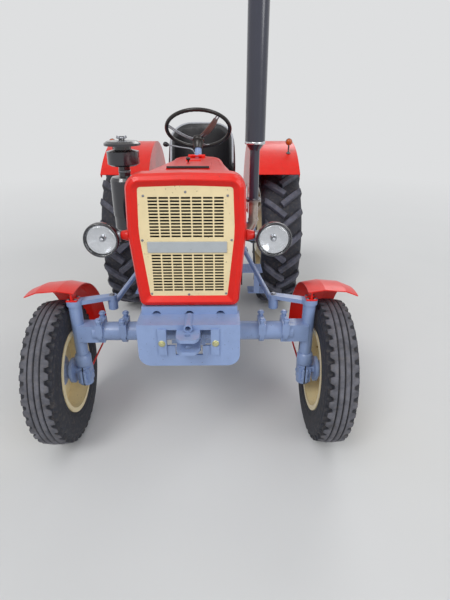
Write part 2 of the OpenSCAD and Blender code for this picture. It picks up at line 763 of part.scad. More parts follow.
module air_cleaner() color(black) {
    y = front_axle_y + 200;
    bend = 50;
    run_z = 1020;
    translate([-cleaner_x, y, 0]) rotate_extrude()
        // radius, height
        polygon([[0, run_z + bend], [cleaner_r - 22, run_z + bend], [cleaner_r - 4, 1090],
            [cleaner_r - 4, 1150], [cleaner_r, 1152], [cleaner_r, 1320], [cleaner_r - 8, 1334],
            [27, 1340], [27, 1385], [60, 1386], [74, 1394], [74, 1450], [40, 1458], [40, 1475],
            [84, 1476], [84, 1486], [70, 1495], [14, 1499], [10, 1516], [0, 1516]]);
    mirror([1, 0, 0]) {
        elbow([cleaner_x, y, run_z], bend, 26);
        bar_z([cleaner_x, y, run_z + bend - 6], 31, 10);
        bar_x([cleaner_x - bend - 6, y, run_z], 31, 12);
        bar_x([head_half_w + seat_gap, y, run_z], 26, cleaner_x - bend - head_half_w - seat_gap);
    }
}

module fuel_tank() color(black) {
    tank_y = engine_y + 130;
    upright(tank_y, hood_back_y - 70 - tank_y) polygon(rounded([[-140, 1150, 30], [140, 1150, 30],
        [140, hood_rear_z - 50, 40], [-140, hood_rear_z - 50, 40]]));
    both_sides() for (y = [160, 420]) slab([88, engine_y + y, 1065 + seat_gap],
        [108, engine_y + y + 20, 1160]);
}

module dash() color(red) {
    difference() {
        upright(dash_y, dash_t) polygon(rounded(hood_section(hood_rear_half_w, hood_rear_z,
            steering_box_top_z + seat_gap, 0)));
        steering_shaft_space(column_r + seat_gap);
    }
    both_sides() hinge_leaf(10, 29.7, 24);
    bar_x([-52, hinge_y, hinge_z], hinge_pin_r, 104);
}

// Steering

module steering_shaft_space(r) translate(column_top) rotate([-column_lean, 0, 0])
    translate([0, 0, -440]) cylinder(r = r, h = 500);

module steering_box() color(blue_grey) {
    difference() {
        union() {
            translate(column_top) rotate([-column_lean, 0, 0]) translate([0, 0, -480])
                cylinder(r = column_r, h = 480);
            slab([-120, engine_back_y + 4, 850 + seat_gap], [120, steering_box_y + 75, steering_box_top_z]);
        }
        translate(column_top) rotate([-column_lean, 0, 0]) translate([0, 0, -70])
            cylinder(r = 10 + play, h = 80);
        bar_x([-130, steering_box_y, drop_shaft_z], 20 + play, 260);
    }
}

module steering_wheel() translate(column_top) rotate([-column_lean, 0, 0]) color(black) {
    cylinder(r = 10, h = 90);
    translate([0, 0, -60]) cylinder(r = 10, h = 70);
    translate([0, 0, clear]) rotate_extrude()
        polygon([[0, 0], [24, 0], [36, 10], [36, 26], [28, 34], [12, 38], [0, 38]]);
    translate([0, 0, 100]) rotate_extrude($fn = 96) translate([wheel_rim_r, 0]) circle(wheel_grip_r);
    for (a = [-48, 72, 192]) rotate([0, 0, a])
        bar([20, 0, 22], [wheel_rim_r - 4, 0, 100], 7);
}

module drop_arm() color(blue_grey) {
    shaft_in = 6;
    bar_x([shaft_in, steering_box_y, drop_shaft_z], 20, drop_arm_x - shaft_in);
    bar_x([drop_arm_x - drop_arm_t / 2, steering_box_y, drop_shaft_z], 34, drop_arm_t);
    bar_x([drop_arm_x - drop_arm_t / 2, steering_box_y, drop_shaft_z - drop_arm_len], 24, drop_arm_t);
    bar_x([drop_arm_x, steering_box_y, drop_shaft_z - drop_arm_len], 12, link_end_x - 5 - drop_arm_x);
    side_plate(drop_arm_x - drop_arm_t / 2, drop_arm_t) polygon([
        [steering_box_y - 30, drop_shaft_z], [steering_box_y + 30, drop_shaft_z],
        [steering_box_y + 20, drop_shaft_z - drop_arm_len],
        [steering_box_y - 20, drop_shaft_z - drop_arm_len]]);
}

module drag_link() color(blue_grey) {
    front = [kingpin_x - arm_in, front_axle_y + arm_back, arm_z - 8 - 26];
    rear = [link_end_x + 14, steering_box_y, drop_shaft_z - drop_arm_len];
    bar(front, rear, 14);
    bar_z(front - [0, 0, 20], 24, 20 + 26 - seat_gap);
    bar_x(rear - [14, 0, 0], 24, 28);
}

module gearbox() color(blue_grey) {
    bell_y = engine_back_y + seat_gap;
    half = case_half_w + 20;
    upright(bell_y, 24) polygon(rounded([[-half, 450, 60], [half, 450, 60], [half, 850, 45],
        [-half, 850, 45]]));
    upright(bell_y + 24, 106) polygon(rounded([[-half + 16, 462, 60], [half - 16, 462, 60],
        [half - 16, 838, 45], [-half + 16, 838, 45]]));
    slab([-gearbox_half_w, bell_y + 130, 440], [gearbox_half_w, rear_axle_y - 200, gearbox_top_z]);
    slab([-gearbox_half_w - 12, rear_axle_y - 216, 430], [gearbox_half_w + 12, rear_axle_y - 200,
        gearbox_top_z + 6]);
    both_sides() {
        side_plate(gearbox_half_w, 8) translate([front_axle_y + 1270, 660]) circle(85);
        side_plate(gearbox_half_w, 16) translate([front_axle_y + 1270, 660]) circle(48);
    }
}

module rear_axle() color(blue_grey) {
    slab([-165, rear_axle_y - 200 + seat_gap, 440], [165, rear_axle_y + 170, 800]);
    end_x = hub_face_x - clear;
    both_sides() translate([0, rear_axle_y, rear_tyre_r]) rotate([0, 90, 0]) rotate_extrude()
        // radius, along
        polygon([[0, 150], [150, 150], [150, 210], [118, 218], [trumpet_r + 10, 262],
            [trumpet_r, 330], [trumpet_r + 4, end_x - 46], [105, end_x - 34], [105, end_x],
            [half_shaft_r + play, end_x], [half_shaft_r + play, hub_face_x - 70],
            [0, hub_face_x - 70]]);
    bar_y([0, rear_axle_y + 170, 640], 17.5, 80);
}

module lift_housing() color(blue_grey) difference() {
    side_plate(-135, 270) polygon(rounded([[rear_axle_y - 150, 800 + seat_gap, 0],
        [rear_axle_y + 190, 800 + seat_gap, 0], [rear_axle_y + 190, 940, 50],
        [rear_axle_y - 150, 940, 28]]));
    bar_x([-140, lift_shaft_y, lift_shaft_z], lift_shaft_r + play, 280);
}

module lift_arms() color(blue_grey) {
    bar_x([-lift_arm_x, lift_shaft_y, lift_shaft_z], lift_shaft_r, 2 * lift_arm_x);
    both_sides() {
        side_plate(lift_arm_x - lift_arm_t / 2, lift_arm_t) {
            translate([lift_shaft_y, lift_shaft_z]) circle(42);
            translate([lift_shaft_y + lift_arm_len, lift_shaft_z]) circle(24);
            translate([lift_shaft_y, lift_shaft_z - 20]) square([lift_arm_len, 40]);
        }
        bar_x([lift_arm_x, lift_shaft_y + lift_arm_len, lift_shaft_z], rod_pin_r, rod_x + 20 - lift_arm_x);
    }
}

module lower_links() color(blue_grey) both_sides() difference() {
    end_y = rear_axle_y + tail_reach - link_eye_r;
    union() {
        slab([lower_link_x - lower_link_t / 2, lower_pivot[0], lower_pivot[1] - 24],
            [lower_link_x + lower_link_t / 2, end_y, lower_pivot[1] + 24]);
        for (y = [lower_pivot[0], end_y])
            bar_x([lower_link_x - lower_link_t / 2, y, lower_pivot[1]], link_eye_r, lower_link_t);
    }
    for (y = [lower_pivot[0], end_y])
        bar_x([lower_link_x - 30, y, lower_pivot[1]], hitch_bore_r, 60);
}

module lift_rods() color(blue_grey) both_sides() {
    top = [rod_x + 9, lift_shaft_y + lift_arm_len, lift_shaft_z];
    low = [rod_x + 9, lower_pivot[0] + rod_on_link, lower_pivot[1]];
    difference() {
        union() {
            bar_x(top - [7, 0, 0], 20, 14);
            bar(top, low, 7);
        }
        bar_x(top - [8, 0, 0], rod_pin_r + play, 16);
    }
    bar_x(low - [7, 0, 0], 20, 14);
}

module drawbar() color(blue_grey) {
    bar_end = rear_axle_y + 420;
    difference() {
        slab([-35, rear_axle_y - 60, 405], [35, bar_end, 430]);
        bar_z([0, bar_end - 40, 400], tow_bore_r, 40);
    }
    both_sides() slab([140, rear_axle_y + 60, 395], [165, rear_axle_y + 160, 440]);
    slab([-165, rear_axle_y + 80, 380], [165, rear_axle_y + 140, 405]);
    both_sides() bar_x([165, lower_pivot[0], lower_pivot[1]], hitch_bore_r - play,
        lower_link_x + 20 - 165);
}

// Driver's place

module footboards() color(blue_grey) both_sides() {
    slab([gearbox_half_w + 30, front_axle_y + 960, 545], [440, front_axle_y + 1130, 551]);
    slab([gearbox_half_w + seat_gap, front_axle_y + 1000, 500],
        [gearbox_half_w + 60, front_axle_y + 1090, 545]);
    slab([340, front_axle_y + 960, 385], [480, front_axle_y + 1080, 391]);
    slab([380, front_axle_y + 960, 391], [420, front_axle_y + 966, 545]);
}

module rear_fenders() color(red) both_sides() {
    r = fender_top_z - fender_centre[1];
    front_edge = 40.5;
    rear_edge = 68;
    translate([0, fender_centre[0], fender_centre[1]]) rotate([0, 90, 0])
        rotate_extrude(angle = front_edge + rear_edge, start = 180 - rear_edge) {
            translate([r - fender_t, fender_in_x]) square([fender_t, fender_out_x - fender_in_x]);
            translate([r - 30, fender_out_x - fender_t]) square([30, fender_t]);
            translate([r - 330, fender_in_x]) square([330, fender_t]);
        }
    slab([140, rear_axle_y - 40, 800], [fender_in_x, rear_axle_y + 40, 806]);
    slab([fender_in_x, rear_axle_y - 100, 800], [fender_in_x + fender_t, rear_axle_y + 100, 1080]);
}

// Place on the fender's top sheet, at an angle behind its highest line
module on_fender(x, back) translate([x, fender_centre[0], fender_centre[1]]) rotate([-back, 0, 0])
    translate([0, 0, fender_top_z - fender_centre[1] + seat_gap]) children();

module signal_lamps() color(amber) both_sides() on_fender(650, -23) {
    cylinder(r = 14, h = 6);
    rotate([-23, 0, 0]) {
        translate([0, 0, 4]) cylinder(r = 5, h = 60);
        translate([0, 0, 68]) sphere(20);
    }
}
module rear_lamps() color(red) both_sides() on_fender(620, 62) cylinder(r = 42, h = 34);

module seat_frame() color(black) {
    slab([-60, seat_y - 150, 940 + seat_gap], [60, seat_y + 120, 960]);
    slab([-40, seat_y - 60, 960], [40, seat_y + 60, seat_z - 25]);
    slab([-180, seat_y - 180, seat_z - 25], [180, seat_y + 150, seat_z - seat_gap]);
}
module seat_inside(gap, z, h) {
    translate([0, seat_mid_y, z]) cylinder(r = seat_half_w - seat_wall - gap, h = h);
    slab([-seat_half_w + seat_wall + gap, seat_y - 170, z],
        [seat_half_w - seat_wall - gap, seat_mid_y, z + h]);
}
module seat_cushion() color(vinyl) seat_inside(1, seat_z, 80);
// Section of the seat's wrap, [from the middle, height]
seat_wrap = rounded([[seat_half_w - seat_wall, seat_z, 0], [seat_half_w - 24, seat_z, 0],
    [seat_half_w, seat_z + 70, 60], [seat_half_w, seat_top_z, 24],
    [seat_half_w - seat_wall, seat_top_z, 24]]);
module seat_back() color(vinyl) difference() {
    union() {
        translate([0, seat_mid_y, 0]) rotate_extrude(angle = 180) polygon(seat_wrap);
        both_sides() upright(seat_y - 120, seat_mid_y - seat_y + 120) polygon(seat_wrap);
    }
    translate([0, seat_mid_y, seat_z + 190]) rotate([35, 0, 0])
        slab([-300, -500, 0], [300, 0, 400]);
}

module controls() color(black) {
    // x and height of each lever
    for (lever = [[62, 310], [-62, 260]])
        translate([lever[0], front_axle_y + 1190, gearbox_top_z + seat_gap]) rotate_extrude()
            polygon([[0, 0], [34, 0], [22, 38], [8, 46], [8, lever[1] - 26], [18, lever[1] - 20],
                [22, lever[1] - 8], [22, lever[1] + 4], [14, lever[1] + 16], [0, lever[1] + 20]]);
    both_sides() {
        slab([200, front_axle_y + 962, 650], [280, front_axle_y + 974, 710]);
        bar_x([gearbox_half_w + seat_gap, front_axle_y + 1060, 610], 14, 95);
        side_plate(228, 10) polygon([[front_axle_y + 1052, 602], [front_axle_y + 1068, 616],
            [front_axle_y + 970, 700], [front_axle_y + 970, 672]]);
    }
}

module fan() color(steel) {
    y = engine_y - 55;
    z = fan_z;
    bar_y([0, y, z], 40, 30);
    bar_y([0, y + 20, z], 12, 60);
    for (a = [0:90:270]) translate([0, y + 8, z]) rotate([0, a, 0])
        slab([20, 0, -30], [150, 5, 30]);
}

// What is drawn

front_support();
tow_bracket();
tow_jaw();
axle_beam();
radiator();
mask();
grille();
engine_block();
cylinder_head();
fuel_pump();
dynamo();
starter();
exhaust();
air_cleaner();
fuel_tank();
dash();
steering_box();
gearbox();
rear_axle();
lift_housing();
drawbar();
footboards();
rear_fenders();
headlamps();
signal_lamps();
rear_lamps();
seat_frame();
seat_back();
seat_cushion();
controls();
hood();
hatch();
steering_wheel();
fan();
knuckle();  // knuckle_l
on_side(-1) knuckle();  // knuckle_r
front_mudguard();  // front_mudguard_l
on_side(-1) front_mudguard();  // front_mudguard_r
front_hub();  // front_hub_l
on_side(-1) front_hub();  // front_hub_r
front_rim();  // front_rim_l
on_side(-1) front_rim();  // front_rim_r
front_tyre();  // front_tyre_l
on_side(-1) front_tyre();  // front_tyre_r
rear_rim();  // rear_rim_l
on_side(-1) rear_rim();  // rear_rim_r
rear_tyre();  // rear_tyre_l
on_side(-1) rear_tyre();  // rear_tyre_r
drag_link();  // drag_link_l
on_side(-1) drag_link();  // drag_link_r
drop_arm();  // drop_arm_l
on_side(-1) drop_arm();  // drop_arm_r
lift_arms();
lift_rods();
lower_links();
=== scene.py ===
"""Looks of the vintage tractor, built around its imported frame. Run as a script in Blender."""

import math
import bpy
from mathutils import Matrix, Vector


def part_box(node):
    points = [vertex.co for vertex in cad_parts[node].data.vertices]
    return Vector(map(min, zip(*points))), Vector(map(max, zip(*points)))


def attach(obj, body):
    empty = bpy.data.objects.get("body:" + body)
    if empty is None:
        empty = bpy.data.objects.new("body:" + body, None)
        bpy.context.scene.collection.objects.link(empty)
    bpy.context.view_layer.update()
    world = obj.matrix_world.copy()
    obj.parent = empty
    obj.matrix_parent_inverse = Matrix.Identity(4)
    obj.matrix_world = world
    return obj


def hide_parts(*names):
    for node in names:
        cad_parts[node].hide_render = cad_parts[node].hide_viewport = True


bl_info = {
    "name": "Vintage tractor looks",
    "version": (1, 0, 0),
    "blender": (4, 5, 0),
    "location": "View3D > Sidebar > Tractor",
    "description": "Builds the paint, tyres, lamps, fasteners and seat of a vintage tractor",
    "category": "Object",
}

import bmesh
import bpy
from mathutils import Matrix, Vector
from mathutils.bvhtree import BVHTree

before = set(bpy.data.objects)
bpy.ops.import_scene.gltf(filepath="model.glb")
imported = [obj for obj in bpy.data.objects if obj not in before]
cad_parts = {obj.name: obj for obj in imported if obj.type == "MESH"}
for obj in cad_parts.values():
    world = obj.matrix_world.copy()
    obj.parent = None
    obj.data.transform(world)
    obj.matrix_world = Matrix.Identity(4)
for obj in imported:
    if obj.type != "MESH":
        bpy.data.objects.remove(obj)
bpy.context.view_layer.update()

X, Y, Z = Vector((1, 0, 0)), Vector((0, 1, 0)), Vector((0, 0, 1))
BOTH = (-1, 1)
SIDES = ((1, "left", "l"), (-1, "right", "r"))
TREES, FINISH, PARTS = {}, {}, {}


# Places and sizes, in metres unless a name says otherwise


def middle(node):
    """Middle of a CAD node's box."""
    lo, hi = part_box(node)
    return (lo + hi) / 2


FRONT_WHEEL, REAR_WHEEL = middle("front_tyre_l"), middle("rear_tyre_l")
FRONT_AXLE_Y, REAR_AXLE_Y = FRONT_WHEEL.y, REAR_WHEEL.y
CAMBER = math.radians(2)
KINGPIN_X = 0.577
FENDER_Y, FENDER_Z, FENDER_TOP = REAR_AXLE_Y - 0.02, 0.6, 0.7653  # rear fenders' centre and radius
DASH_Y = -0.27
EXHAUST, CLEANER = (0.31, 0.3), (-0.314, 0.2)


def at(x, y, z):
    """Place whose y is counted from the front axle."""
    return Vector((x, FRONT_AXLE_Y + y, z))


def route(*values):
    """Such places along a path, from x, y, z in millimetres one after the other."""
    return [at(x / 1000, y / 1000, z / 1000) for x, y, z in zip(values[::3], values[1::3], values[2::3])]


def mm(*values):
    """Pairs in metres, mostly radius and height, from millimetres one after the other."""
    return [(a / 1000, b / 1000) for a, b in zip(values[::2], values[1::2])]


def angles(count, start=0.0):
    """Evenly spaced angles round a full circle."""
    return [2 * math.pi * (i + start) / count for i in range(count)]


def polar(radius, angle, height=0.0):
    """Point at a radius and an angle about Z."""
    return Vector((radius * math.cos(angle), radius * math.sin(angle), height))


COLUMN_TOP, COLUMN_LEAN = at(0, 1.035, 1.412), math.radians(36)
RIM_RADIUS, RIM_HEIGHT = 0.205, 0.1  # steering wheel, height over the column's top
CAMERA_DOWN, CAMERA_TURN = 24.8, -0.69  # degrees below level and to the side


# Materials


def srgb(r, g, b):
    """Linear colour of an 8-bit screen colour."""
    def lin(v):
        v /= 255
        return v / 12.92 if v <= 0.04045 else ((v + 0.055) / 1.055) ** 2.4
    return (lin(r), lin(g), lin(b), 1.0)


def tinted(colour, k):
    """The colour, lighter or darker."""
    return tuple(min(c * k, 1.0) for c in colour[:3]) + (1.0,)


def add_node(tree, kind, inputs=None, **props):
    """A node with its properties set, each input linked where its value is a socket and else set to it."""
    node = tree.nodes.new(kind)
    for key, value in props.items():
        setattr(node, key, value)
    for key, value in (inputs or {}).items():
        if isinstance(value, bpy.types.NodeSocket):
            tree.links.new(value, node.inputs[key])
        else:
            node.inputs[key].default_value = value
    return node


class Finish:
    """One procedural material and its nodes, all on Object coordinates."""

    def __init__(self, name, **sockets):
        self.mat = bpy.data.materials.new(name)
        self.mat.use_nodes = True
        self.tree = self.mat.node_tree
        self.tree.nodes.clear()
        self.skin = self.add("BsdfPrincipled", self.spelled({"coat_roughness": 0.1, **sockets}))
        self.out = self.add("OutputMaterial", {0: self.skin.outputs[0]})
        self.place = self.add("TexCoord").outputs["Object"]

    def spelled(self, sockets):
        """Sockets under the names that the shader gives them."""
        return {key.replace("_", " ").title().replace("Ior", "IOR"): v for key, v in sockets.items()}

    def add(self, kind, inputs=None, **props):
        return add_node(self.tree, "ShaderNode" + kind, inputs, **props)

    def noise(self, scale, detail=3.0, rough=0.5, stretch=None):
        where = self.place
        if stretch:
            where = self.add("Mapping", {"Vector": where, "Scale": stretch}).outputs[0]
        inputs = {"Vector": where, "Scale": scale, "Detail": detail, "Roughness": rough}
        return self.add("TexNoise", inputs).outputs["Fac"]

    def cells(self, scale, width):
        """Random cells, dark along their edges."""
        inputs = {"Vector": self.place, "Scale": scale}
        edges = self.add("TexVoronoi", inputs, feature="DISTANCE_TO_EDGE").outputs["Distance"]
        return self.steps(edges, (0.0, 0.0), (width, 1.0))

    def steps(self, value, *stops):
        """Grey or colour ramp of (place, grey or colour) stops."""
        node = self.add("ValToRGB", {0: value})
        ramp = node.color_ramp
        while len(ramp.elements) < len(stops):
            ramp.elements.new(0.5)
        for element, (place, shade) in zip(ramp.elements, stops):
            element.position = place
            element.color = shade if isinstance(shade, tuple) else (shade, shade, shade, 1)
        return node.outputs[0]

    def mix(self, factor, a, b):
        return self.add("Mix", {0: factor, 6: a, 7: b}, data_type="RGBA").outputs[2]

    def calc(self, kind, a, b):
        return self.add("Math", {0: a, 1: b}, operation=kind).outputs[0]

    def along(self, vector, axis):
        """One of a vector's three parts."""
        return self.add("SeparateXYZ", {0: vector}).outputs[axis]

    def uneven(self, scale, depth, base):
        """Noise of the given depth over a base value."""
        return self.calc("ADD", self.calc("MULTIPLY", self.noise(scale, 4), depth), base)

    def radius(self, centre, flat=(0, 1, 1)):
        """Distance from an axle through centre, in metres, along which flat is 0."""
        shift = self.add("VectorMath", {0: self.place, 1: centre}, operation="SUBTRACT").outputs[0]
        across = self.add("VectorMath", {0: shift, 1: flat}, operation="MULTIPLY").outputs[0]
        return self.add("VectorMath", {0: across}, operation="LENGTH").outputs["Value"]

    def relief(self, height, strength, distance=0.001, after=None):
        """Bump of a height, on top of an earlier one where that is given."""
        inputs = {"Height": height, "Strength": strength, "Distance": distance}
        if after is not None:
            inputs["Normal"] = after
        return self.add("Bump", inputs).outputs[0]

    def wear(self, **sockets):
        """Links the shader's own sockets and gives the finished material."""
        for key, value in self.spelled(sockets).items():
            self.tree.links.new(value, self.skin.inputs[key])
        return self.mat


def enamel(name, colour, dust, gloss=0.34, coat=0.35, brushed=0.0, hollow=None, mirror=0.5):
    """Sprayed enamel with slight orange peel, dust on what faces up and a few small chips.

    Behind the given depth along Y it is painted black, as painted shade inside a grille's slots.
    """
    f = Finish(name, roughness=gloss, coat_weight=coat, coat_roughness=0.12, specular_ior_level=mirror)
    shade = f.mix(f.noise(2.2, 4), tinted(colour, 0.88), tinted(colour, 1.08))
    shade = f.mix(f.steps(f.noise(23, 6, 0.65), (0.42, 0.0), (0.78, 0.35)), shade, tinted(colour, 0.72))
    upward = f.along(f.add("NewGeometry").outputs["Normal"], 2)
    dirt = f.calc("MULTIPLY", f.steps(upward, (0.15, 0.0), (0.95, 1.0)),
                  f.steps(f.noise(14, 7, 0.7), (0.38, 0.0), (0.72, dust)))
    shade = f.mix(dirt, shade, srgb(176, 160, 132))
    chips = f.steps(f.noise(150, 2, 0.4), (0.735, 0.0), (0.76, 1.0))
    shade = f.mix(chips, shade, srgb(74, 62, 56))
    # painted shade: black on all that lies behind the given depth, inside the grille's slots
    if hollow is not None:
        shade = f.mix(f.calc("GREATER_THAN", f.along(f.place, 1), hollow), shade, srgb(18, 17, 17))
    peel = f.relief(f.noise(420, 2), 0.06, 0.0006)
    if brushed:
        peel = f.relief(f.noise(60, 3, stretch=(1, 1, 0.2)), brushed, 0.001, peel)
    rough = f.calc("ADD", f.uneven(30, 0.14, gloss - 0.06), dirt)
    return f.wear(base_color=shade, normal=peel, roughness=rough)


def burnt_pipe(name, paint, line_z):
    """Black heat paint, burnt off to brown metal below a height."""
    f = Finish(name, roughness=0.3, coat_weight=0.6)
    edge = f.calc("ADD", f.calc("SUBTRACT", f.along(f.place, 2), line_z - 0.5),
                  f.calc("MULTIPLY", f.noise(18, 5), 0.05))
    low = f.steps(edge, (0.515, 1.0), (0.54, 0.0))
    rust = f.mix(f.noise(45, 6, 0.65), srgb(140, 126, 116), srgb(192, 182, 172))
    rust = f.mix(f.steps(f.noise(90, 4), (0.5, 0.0), (0.7, 0.45)), rust, srgb(112, 90, 76))
    dark = f.mix(f.noise(3, 4), tinted(paint, 0.8), tinted(paint, 1.4))
    return f.wear(base_color=f.mix(low, dark, rust), metallic=f.calc("MULTIPLY", low, 0.5),
                  roughness=f.uneven(30, 0.14, 0.17), normal=f.relief(f.noise(240, 3), 0.1, 0.0006))


def rubber(name, centre, crown, hub, groove, tread, wall):
    """Tyre rubber: lighter on the tread, darkest at the groove floors and between the lugs, darker down the
    walls, with dusty patches and fine cracks.
    """
    f = Finish(name, roughness=0.72)
    height = f.calc("DIVIDE", f.calc("SUBTRACT", f.radius(centre), hub), crown - hub)
    # colour by height: lightest on the tread, darkest at the groove floors and between the lugs
    worn = f.steps(height, (0.0, wall), (0.78, tinted(wall, 1.25)), (groove, tinted(wall, 0.8)),
                   (groove + 0.018, tinted(tread, 0.85)), (1.0, tread))
    patch = f.steps(f.noise(16, 8, 0.7), (0.35, 0.0), (0.72, 0.85))
    shade = f.mix(patch, worn, tinted(wall, 0.75))
    dust = f.steps(f.noise(55, 6, 0.65), (0.5, 0.0), (0.8, 0.4))
    bump = f.relief(f.cells(95, 0.05), 0.12, 0.0004, f.relief(f.noise(900, 3), 0.25, 0.0006))
    return f.wear(base_color=f.mix(dust, shade, srgb(122, 110, 96)), normal=bump)


def bare_metal(name, screen, roughness=0.4, grain=0.1):
    """Plain metal with a slight grain."""
    f, colour = Finish(name, roughness=roughness, metallic=1.0), srgb(*screen)
    shade = f.mix(f.noise(40, 6, 0.6), tinted(colour, 0.75), tinted(colour, 1.1))
    return f.wear(base_color=shade, normal=f.relief(f.noise(500, 3), grain, 0.0005),
                  roughness=f.uneven(60, 0.2, roughness - 0.08))


def leatherette(name, screen):
    """Vinyl with a fine pebbled grain."""
    f = Finish(name, roughness=0.42, coat_weight=0.15, coat_roughness=0.3)
    colour = srgb(*screen)
    shade = f.mix(f.noise(9, 5), tinted(colour, 0.8), tinted(colour, 1.5))
    grain = f.relief(f.noise(40, 3), 0.15, 0.002, f.relief(f.cells(620, 0.22), 0.35, 0.0007))
    return f.wear(base_color=shade, normal=grain)


def moulded(name, screen, roughness=0.5):
    """Moulded plastic or hard rubber."""
    f, colour = Finish(name, roughness=roughness), srgb(*screen)
    shade = f.mix(f.noise(30, 4), tinted(colour, 0.8), tinted(colour, 1.2))
    return f.wear(base_color=shade, normal=f.relief(f.noise(700, 3), 0.12, 0.0005))


def clear_glass(name, screen, strength, ribs=0.0):
    """Lens glass or coloured lens, with moulded flutes where ribs is above 0."""
    f, colour = Finish(name, roughness=0.08, transmission_weight=strength, ior=1.47), srgb(*screen)
    parts = {"base_color": f.mix(f.noise(25, 3), tinted(colour, 0.92), colour)}
    if ribs:
        wave = f.add("TexWave", {"Vector": f.place, "Scale": ribs}, wave_type="BANDS", bands_direction="X")
        parts["normal"] = f.relief(wave.outputs["Fac"], 0.2, 0.0008)
    return f.wear(**parts)


# Meshes


def link_mesh(mesh):
    obj = bpy.data.objects.new("part", mesh)
    bpy.context.scene.collection.objects.link(obj)
    return obj


def from_faces(verts, faces, smooth=True):
    mesh = bpy.data.meshes.new("part")
    mesh.from_pydata([tuple(v) for v in verts], [], faces)
    mesh.validate()
    mesh.polygons.foreach_set("use_smooth", [smooth] * len(mesh.polygons))
    return link_mesh(mesh)


def skinned(rows, around=True, looped=True, caps=0, smooth=True):
    """Surface over rows of points, its faces turned outwards.

    Around joins the last row to the first and looped closes each row. Caps of 1 or -1 fill the end
    rows, the sign setting the corner from which an end is cut into triangles.
    """
    n, count = len(rows[0]), len(rows)
    faces = []
    for i in range(count if around else count - 1):
        j = (i + 1) % count
        faces += [(i * n + k, j * n + k, j * n + (k + 1) % n, i * n + (k + 1) % n)
                  for k in range(n if looped else n - 1)]
    if caps:
        faces += [tuple(range(n))[::-caps], tuple(range((count - 1) * n, count * n))[::caps]]
    obj = from_faces([p for row in rows for p in row], faces, smooth)
    bm = bmesh.new()
    bm.from_mesh(obj.data)
    bmesh.ops.remove_doubles(bm, verts=bm.verts, dist=1e-6)
    bmesh.ops.recalc_face_normals(bm, faces=bm.faces)
    bm.to_mesh(obj.data)
    bm.free()
    return obj


def frame_at(origin, axis, spin=0.0):
    """Matrix whose Z runs along axis."""
    turn = axis.to_track_quat("Z", "Y").to_matrix().to_4x4()
    return Matrix.Translation(origin) @ turn @ Matrix.Rotation(spin, 4, "Z")


def lathe(profile, place=Matrix.Identity(4), steps=64, smooth=True):
    """Turned form about Z. Profile is (radius, height) pairs; a closed one makes a ring."""
    closed = profile[0] == profile[-1]
    rows = profile[:-1] if closed else profile
    return skinned([[place @ polar(r, a, h) for r, h in rows] for a in angles(steps)],
                   looped=closed, smooth=smooth)


def smooth_path(points, per=6):
    """Catmull-Rom points through the given ones."""
    pts = [2 * points[0] - points[1]] + points + [2 * points[-1] - points[-2]]
    out = []
    for a, b, c, d in zip(pts, pts[1:], pts[2:], pts[3:]):
        for t in [i / per for i in range(per)]:
            out.append(0.5 * (2 * b + (c - a) * t + (2 * a - 5 * b + 4 * c - d) * t * t
                              + (3 * b - 3 * c + d - a) * t ** 3))
    return out + [pts[-2]]


def tube(points, radius, sides=12, curved=True, closed=False):
    """Round pipe along a path, its ends capped unless it is closed."""
    path = smooth_path(points) if curved and len(points) > 2 else points
    side, rows, n = None, [], len(path)
    for i, p in enumerate(path):
        if closed:
            ahead = (path[(i + 1) % n] - path[i - 1]).normalized()
        else:
            ahead = (path[min(i + 1, n - 1)] - path[max(i - 1, 0)]).normalized()
        if side is None:
            side = ahead.orthogonal().normalized()
        side = (side - ahead * side.dot(ahead)).normalized()
        other = ahead.cross(side)
        rows.append([p + radius * (math.cos(a) * side + math.sin(a) * other) for a in angles(sides)])
    return skinned(rows, around=closed, caps=0 if closed else 1)


def block(lo, hi, place=Matrix.Identity(4), bevel=0.0, segments=2):
    """Box between two corners with rounded edges."""
    lo, hi = Vector(lo), Vector(hi)
    bm = bmesh.new()
    bmesh.ops.create_cube(bm, size=1)
    for v in bm.verts:
        v.co = lo + Vector([(c + 0.5) * s for c, s in zip(v.co, hi - lo)])
    if bevel:
        bmesh.ops.bevel(bm, geom=bm.edges[:], offset=bevel, segments=segments, profile=0.5,
                        affect="EDGES", clamp_overlap=True)
    bmesh.ops.transform(bm, matrix=place, verts=bm.verts)
    bmesh.ops.recalc_face_normals(bm, faces=bm.faces)
    mesh = bpy.data.meshes.new("part")
    bm.to_mesh(mesh)
    bm.free()
    return link_mesh(mesh)


def joined(parts):
    """One mesh object of several."""
    bm = bmesh.new()
    for part in parts:
        mesh = part.data
        bm.from_mesh(mesh)
        bpy.data.objects.remove(part)
        bpy.data.meshes.remove(mesh)
    mesh = bpy.data.meshes.new("part")
    bm.to_mesh(mesh)
    bm.free()
    return link_mesh(mesh)


def mirror_image(part):
    """Copy of a part across the centre line, right way out."""
    mesh = part.data.copy()
    mesh.transform(Matrix.Scale(-1, 4, X))
    mesh.flip_normals()
    return link_mesh(mesh)


def twins(*parts):
    """The parts and their mirror images."""
    return list(parts) + [mirror_image(p) for p in parts]


def piece(name, parts, finish, body="chassis"):
    """A named piece of one part or a list of them, with its finish and the body that carries it."""
    obj = joined(parts) if isinstance(parts, list) else parts
    obj.name = obj.data.name = name
    obj.data.materials.clear()
    obj.data.materials.append(FINISH[finish])
    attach(obj, body)
    return obj


def applied(obj):
    """The object with its modifiers worked into its mesh."""
    dg = bpy.context.evaluated_depsgraph_get()
    mesh = bpy.data.meshes.new_from_object(obj.evaluated_get(dg))
    obj.modifiers.clear()
    old = obj.data
    obj.data = mesh
    bpy.data.meshes.remove(old)
    return obj


# Geometry Nodes


